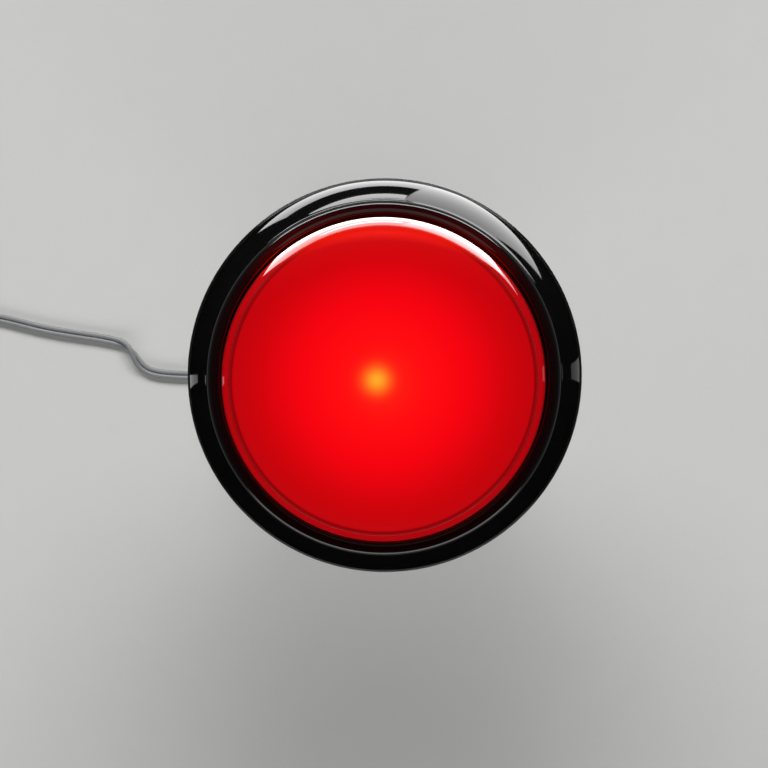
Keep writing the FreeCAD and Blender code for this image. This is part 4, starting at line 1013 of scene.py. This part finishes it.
@dataclass
class LampLead:
    """Lamp lead: two single wires from the lamp's tabs that meet in a flat bonded pair."""

    floor: float = -66.199 * MM
    strand_radius: float = 0.65 * MM
    route_mm: tuple[Point, ...] = (
        (-54.0, -2.8),
        (-62.0, -2.8),
        (-68.6, -0.9),
        (-71.6, 5.7),
        (-78.5, 7.4),
        (-87.0, 8.6),
        (-96.0, 10.1),
        (-107.3, 13.1),
        (-120.43, 15.0),
    )
    coil_centre_mm: Point = (-130.0, -0.6)
    coil_radius: float = 14.3 * MM
    coil_lift: float = 0.6 * MM
    nest_degrees: float = 60.0
    points_per_turn: int = 24
    curve_steps: int = 8
    pair_rounding: int = 3
    tail_rounding: int = 4
    end_mm: tuple[Place, ...] = (
        (0.0, -11.8, 3.3),
        (-0.6, -16.6, 2.7),
        (0.0, -21.4, 2.5),
        (0.0, -25.6, 2.5),
    )
    turn_over: Point = (13.0 * MM, 27.0 * MM)
    barrel_end_mm: float = -24.5
    tab_y_mm: float = 1.85
    tail_starts_mm: dict[str, float] = field(default_factory=lambda: {"upper": -44.0, "lower": -52.0})
    tail_steps_mm: dict[str, tuple[Place, ...]] = field(
        default_factory=lambda: {
            "upper": ((-6.0, 0.0, 0.0), (-12.5, -0.9, -4.4), (-16.5, -2.6, -11.5), (-20.5, -3.7, -18.0)),
            "lower": ((-6.0, 0.0, 0.0), (-12.0, -0.7, -3.2), (-16.5, -1.3, -7.6), (-20.5, -1.5, -11.2)),
        }
    )
    tail_last_run: float = 4.0 * MM
    # a smooth wire's share of the way from control point to control point
    tail_share: float = 0.97

    def coil(self) -> list[Vector]:
        """Wind the put-away coil: one turn outside, one inside it, then up and off over them.

        Returns:
            Control points of the coil.
        """
        pair = 2 * self.strand_radius
        centre = Vector((self.coil_centre_mm[0] * MM, self.coil_centre_mm[1] * MM, 0))
        outer, inner, over = self.coil_radius + pair, self.coil_radius - pair, self.coil_radius
        low = self.floor + self.coil_lift + pair
        high = low + 2 * pair * math.sin(math.radians(self.nest_degrees))
        turn = 360 / self.points_per_turn
        widen = 1 / math.cos(math.radians(turn / 2))
        # angle in degrees, radius and height where the wire changes its course
        stops = [
            (90, outer, self.floor + pair),
            (150, outer, low),
            (385, outer, low),
            (450, inner, low),
            (735, inner, low),
            (810, over, high),
            (900, over, high),
        ]
        points = []
        for (a, r0, z0), (b, r1, z1) in zip(stops, stops[1:]):
            count = round((b - a) / turn)
            for i in range(count):
                share = i / count
                soft = ease(share)
                angle = math.radians(a + (b - a) * share)
                radius = (r0 + (r1 - r0) * soft) * widen
                height = z0 + (z1 - z0) * soft
                step = (radius * math.cos(angle), radius * math.sin(angle), height)
                points.append(centre + Vector(step))
        return points

    def route(self) -> list[Vector]:
        """Put the pair's way together.

        Returns:
            Control points of the pair, from under the bezel to the plug.
        """
        height = self.floor + 2 * self.strand_radius
        run = [Vector((x * MM, y * MM, height)) for x, y in self.route_mm]
        centre_x, centre_y = (part * MM for part in self.coil_centre_mm)
        side = Vector((centre_x - self.coil_radius, centre_y, self.floor))
        end = [side + Vector(step) * MM for step in self.end_mm]
        return run + self.coil() + end

    def tube(
        self, name: str, course: Course, points: list[Vector], depth: float, rounding: int
    ) -> bpy.types.Object:
        """Lay one round curve on its points.

        Args:
            name: Name of the curve object.
            course: How it runs between its points.
            points: Points in the row frame.
            depth: Radius of the tube round it, or 0 for a bare line.
            rounding: How finely the tube is rounded.

        Returns:
            The curve object.
        """
        curve = bpy.data.curves.new(name, "CURVE")
        curve.dimensions = "3D"
        curve.resolution_u = self.curve_steps
        curve.bevel_depth = depth
        curve.bevel_resolution = rounding
        curve.use_fill_caps = True
        line = curve.splines.new(course.value)
        line.points.add(len(points) - 1)
        for target, point in zip(line.points, points):
            target.co = (*point, 1.0)
        line.order_u = 3
        line.use_endpoint_u = True
        piece = bpy.data.objects.new(name, curve)
        bpy.context.scene.collection.objects.link(piece)
        return piece

    def centreline(self) -> list[Vector]:
        """Read the pair's smooth line from a curve on its control points.

        Returns:
            Points along the middle of the pair.
        """
        guide = self.tube("lead_guide", Course.SMOOTH, self.route(), 0.0, self.pair_rounding)
        mesh = bpy.data.meshes.new_from_object(guide)
        points = [vertex.co.copy() for vertex in mesh.vertices]
        bpy.data.meshes.remove(mesh)
        bpy.data.objects.remove(guide)
        return points

    def strand(self, name: str, line: list[Vector], phase: float) -> bpy.types.Object:
        """One wire of the flat pair, which turns over once where the photo shows it cross itself.

        Args:
            name: Name of the wire.
            line: Points along the middle of the pair.
            phase: Angle at which the wire starts, from +Y.

        Returns:
            The wire as a mesh.
        """
        begin, end = self.turn_over
        walked = 0.0
        side = Vector((0, 1, 0))
        places = []
        for i, point in enumerate(line):
            ahead = (line[min(i + 1, len(line) - 1)] - line[max(i - 1, 0)]).normalized()
            side = (side - ahead * side.dot(ahead)).normalized()
            up = ahead.cross(side)
            walked += (point - line[i - 1]).length if i else 0.0
            share = min(max((walked - begin) / (end - begin), 0.0), 1.0)
            angle = phase + math.pi * ease(share)
            place = point + (side * math.cos(angle) + up * math.sin(angle)) * self.strand_radius
            place.z -= self.strand_radius * (1 - abs(math.sin(angle)))
            places.append(place)
        piece = self.tube(name, Course.STRAIGHT, places, self.strand_radius, self.pair_rounding)
        start_fresh()
        piece.select_set(True)
        bpy.context.view_layer.objects.active = piece
        bpy.ops.object.convert(target="MESH")
        bpy.ops.object.shade_smooth_by_angle(angle=WIRE_SMOOTH_BELOW)
        dress(piece, GREY_PVC.material())
        return piece

    def tail(self, side: str, sign: int) -> bpy.types.Object:
        """One single wire from its receptacle down to the start of the pair.

        Args:
            side: Which lamp tab it comes from.
            sign: Side of the pair that it joins.

        Returns:
            The wire as a curve.
        """
        start = Vector((self.barrel_end_mm, self.tab_y_mm * sign, self.tail_starts_mm[side])) * MM
        pair = self.route()[0]
        end = pair + Vector((0, self.strand_radius * sign, 0))
        steps = [start + Vector(step) * MM for step in self.tail_steps_mm[side]]
        points = [start, *steps, end + Vector((self.tail_last_run, 0, 0)), end]
        piece = self.tube(f"wire_{side}", Course.SMOOTH, points, self.strand_radius, self.tail_rounding)
        dress(piece, GREY_PVC.material())
        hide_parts(f"lead_tail_{side}")
        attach(piece, "housing")
        return piece

    def build(self) -> list[bpy.types.Object]:
        """Lay the pair and its two tails.

        Returns:
            The pieces of the lead.
        """
        tails = [self.tail("upper", 1), self.tail("lower", -1)]
        line = self.centreline()
        pair = self.strand("lead_pair", line, 0.0)
        join(pair, [self.strand("lead_pair_second", line, math.pi)])
        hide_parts("lead_run", "lead_coil", "lead_end")
        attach(pair, "housing")
        return [pair, *tails]


@dataclass(frozen=True)
class Card:
    """One card that glows upwards, for the polished faces to mirror.

    Attributes:
        name: Name of the card.
        low: Its lowest corner in X and Y.
        high: Its highest corner in X and Y.
        lift: Its height over the floor.
        shine: Its radiance, where 1 renders white.
    """

    name: str
    low: Point
    high: Point
    lift: float
    shine: float


@dataclass(frozen=True)
class SoftBox:
    """One soft box that lights the button.

    Attributes:
        name: Name of the lamp.
        at: Its middle.
        towards: Point that it faces.
        size: Its width and height.
        power: Its power in watts.
    """

    name: str
    at: Place
    towards: Place
    size: Point
    power: float


@dataclass
class Studio:
    """Pale floor, soft lights and the camera at the photo's angle."""

    floor: float = -66.3 * MM
    floor_size: float = 4.0
    distance: float = 0.7
    tilt_up: float = 2.65
    tilt_right: float = 0.7
    view_width: float = 194.9 * MM
    flag_radii: Point = (55.0 * MM, 320.0 * MM)
    flag_lift: float = 6.0 * MM
    aim: Place = (-0.15 * MM, -2.1 * MM, 0.6 * MM)
    sensor: float = 36.0
    near: float = 0.01
    sky: str = "#969696"
    sky_fade: float = 0.69
    sky_top: float = 0.1
    low_lift: float = 6.4 * MM
    seat_lift: float = 66.0 * MM
    ridge_lift: float = 85.8 * MM
    cards: tuple[Card, ...] = (
        # just over the ridge, so that the dome's shoulder mirrors it and the flank can't
        Card("dome_card", (-0.036, 0.0305), (0.036, 0.062), ridge_lift, 3.6),
        # a short bright strip close behind the bezel, for the upper flank
        Card("rear_card", (-0.030, 0.0635), (0.008, 0.071), seat_lift, 4.5),
        # over the flag, for the rest of the flank and its two small side glints
        Card("rear_right_card", (0.018, 0.062), (0.105, 0.175), low_lift, 2.2),
        Card("rear_left_card", (-0.062, 0.066), (0.018, 0.095), low_lift, 2.0),
        Card("left_card", (-0.112, -0.0072), (-0.067, -0.0025), low_lift, 0.45),
        Card("right_card", (0.067, -0.005), (0.112, 0.004), low_lift, 0.2),
    )
    boxes: tuple[SoftBox, ...] = (
        SoftBox("rear_softbox", (0, 2.6, 1.7), (0, 0, 0), (4.4, 1.0), 152.0),
        SoftBox("front_softbox", (0, -2.6, 1.2), (0, 0, 0), (5.5, 1.2), 58.0),
    )

    def lay_floor(self) -> None:
        """Lay the pale floor."""
        start_fresh()
        bpy.ops.mesh.primitive_plane_add(size=self.floor_size)
        ground = bpy.context.object
        ground.name = "floor"
        edit_all()
        bpy.ops.transform.translate(value=(0, 0, self.floor))
        bpy.ops.mesh.subdivide(number_cuts=4)
        bpy.ops.object.mode_set(mode="OBJECT")
        dress(ground, PALE_BOARD.material())

    def lay_flag(self) -> None:
        """Lay a ring of black velvet over the floor that only mirrors see, to keep the gloss deep."""
        height = self.floor + self.flag_lift
        flag = lathe("black_flag", [(radius, height) for radius in self.flag_radii], 0.0)
        dress(flag, BLACK_VELVET.material())
        flag.visible_camera = flag.visible_diffuse = flag.visible_shadow = False

    def hang_box(self, box: SoftBox) -> None:
        """Hang one soft box, out of the camera's sight.

        Args:
            box: What it is and where it hangs.
        """
        lamp = bpy.data.lights.new(box.name, "AREA")
        lamp.shape = "RECTANGLE"
        lamp.size, lamp.size_y = box.size
        lamp.energy = box.power
        holder = bpy.data.objects.new(box.name, lamp)
        bpy.context.scene.collection.objects.link(holder)
        holder.location = box.at
        holder.rotation_mode = "QUATERNION"
        holder.rotation_quaternion = (Vector(box.towards) - Vector(box.at)).to_track_quat("-Z", "Y")
        holder.visible_camera = False

    def hang_card(self, card: Card) -> None:
        """Hang one glowing card face up, as a soft box of its radiance.

        Args:
            card: What it is and where it hangs.
        """
        middle, size = (Vector(card.low) + Vector(card.high)) / 2, Vector(card.high) - Vector(card.low)
        height = self.floor + card.lift
        power = card.shine * math.pi * size.x * size.y
        self.hang_box(SoftBox(card.name, (*middle, height), (*middle, height + 1), tuple(size), power))

    def set_world(self) -> None:
        """Surround the stage with grey that darkens overhead, where the dome's cap mirrors it."""
        world = bpy.data.worlds.new("studio")
        world.use_nodes = True
        tree = world.node_tree
        way = add_node(tree, "ShaderNodeTexCoord").outputs["Generated"]
        height = add_node(tree, "ShaderNodeSeparateXYZ", {0: way}).outputs["Z"]
        fade = add_node(
            tree,
            "ShaderNodeMapRange",
            {"Value": height, "From Max": self.sky_fade, "To Min": 1.0, "To Max": self.sky_top},
        )
        tree.links.new(fade.outputs["Result"], tree.nodes["Background"].inputs["Strength"])
        tree.nodes["Background"].inputs["Color"].default_value = linear(self.sky)
        bpy.context.scene.world = world

    def set_camera(self) -> None:
        """Set the camera over the dome, a little above and to the right of its axis."""
        lean = [math.tan(math.radians(angle)) for angle in (self.tilt_right, self.tilt_up)]
        away = Vector((*lean, 1.0)).normalized()
        data = bpy.data.cameras.new("camera")
        data.sensor_width = self.sensor
        data.lens = data.sensor_width / 2 / (self.view_width / 2 / self.distance)
        data.clip_start = self.near
        camera = bpy.data.objects.new("camera", data)
        bpy.context.scene.collection.objects.link(camera)
        camera.location = Vector(self.aim) + away * self.distance
        camera.rotation_mode = "QUATERNION"
        right = Vector((0, 1, 0)).cross(away).normalized()
        camera.rotation_quaternion = Matrix((right, away.cross(right), away)).transposed().to_quaternion()
        bpy.context.scene.camera = camera

    def build(self) -> None:
        """Set the stage, the lights, the world and the camera."""
        self.lay_floor()
        self.lay_flag()
        for card in self.cards:
            self.hang_card(card)
        for box in self.boxes:
            self.hang_box(box)
        self.set_world()
        bpy.context.scene.view_settings.view_transform = "Standard"
        self.set_camera()


def main() -> None:
    """Build every sub-assembly, dress the frame's own nodes and set the studio."""
    logging.basicConfig(level=logging.INFO, format="%(name)s: %(message)s")
    for node, finish in NODE_FINISHES.items():
        dress(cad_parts[node], finish.material())
        log.info("%s dressed in %s", node, finish.name)
    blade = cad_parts["switch_blade"]
    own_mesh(blade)
    for part in (Bezel(), Dome(), ReturnSpring(), PanelNut(), LampLead()):
        made = part.build()
        for piece in made if isinstance(made, list) else [made]:
            log.info("%s built for %s", piece.name, type(part).__name__)
    Studio().build()


if __name__ == "__main__":
    main()
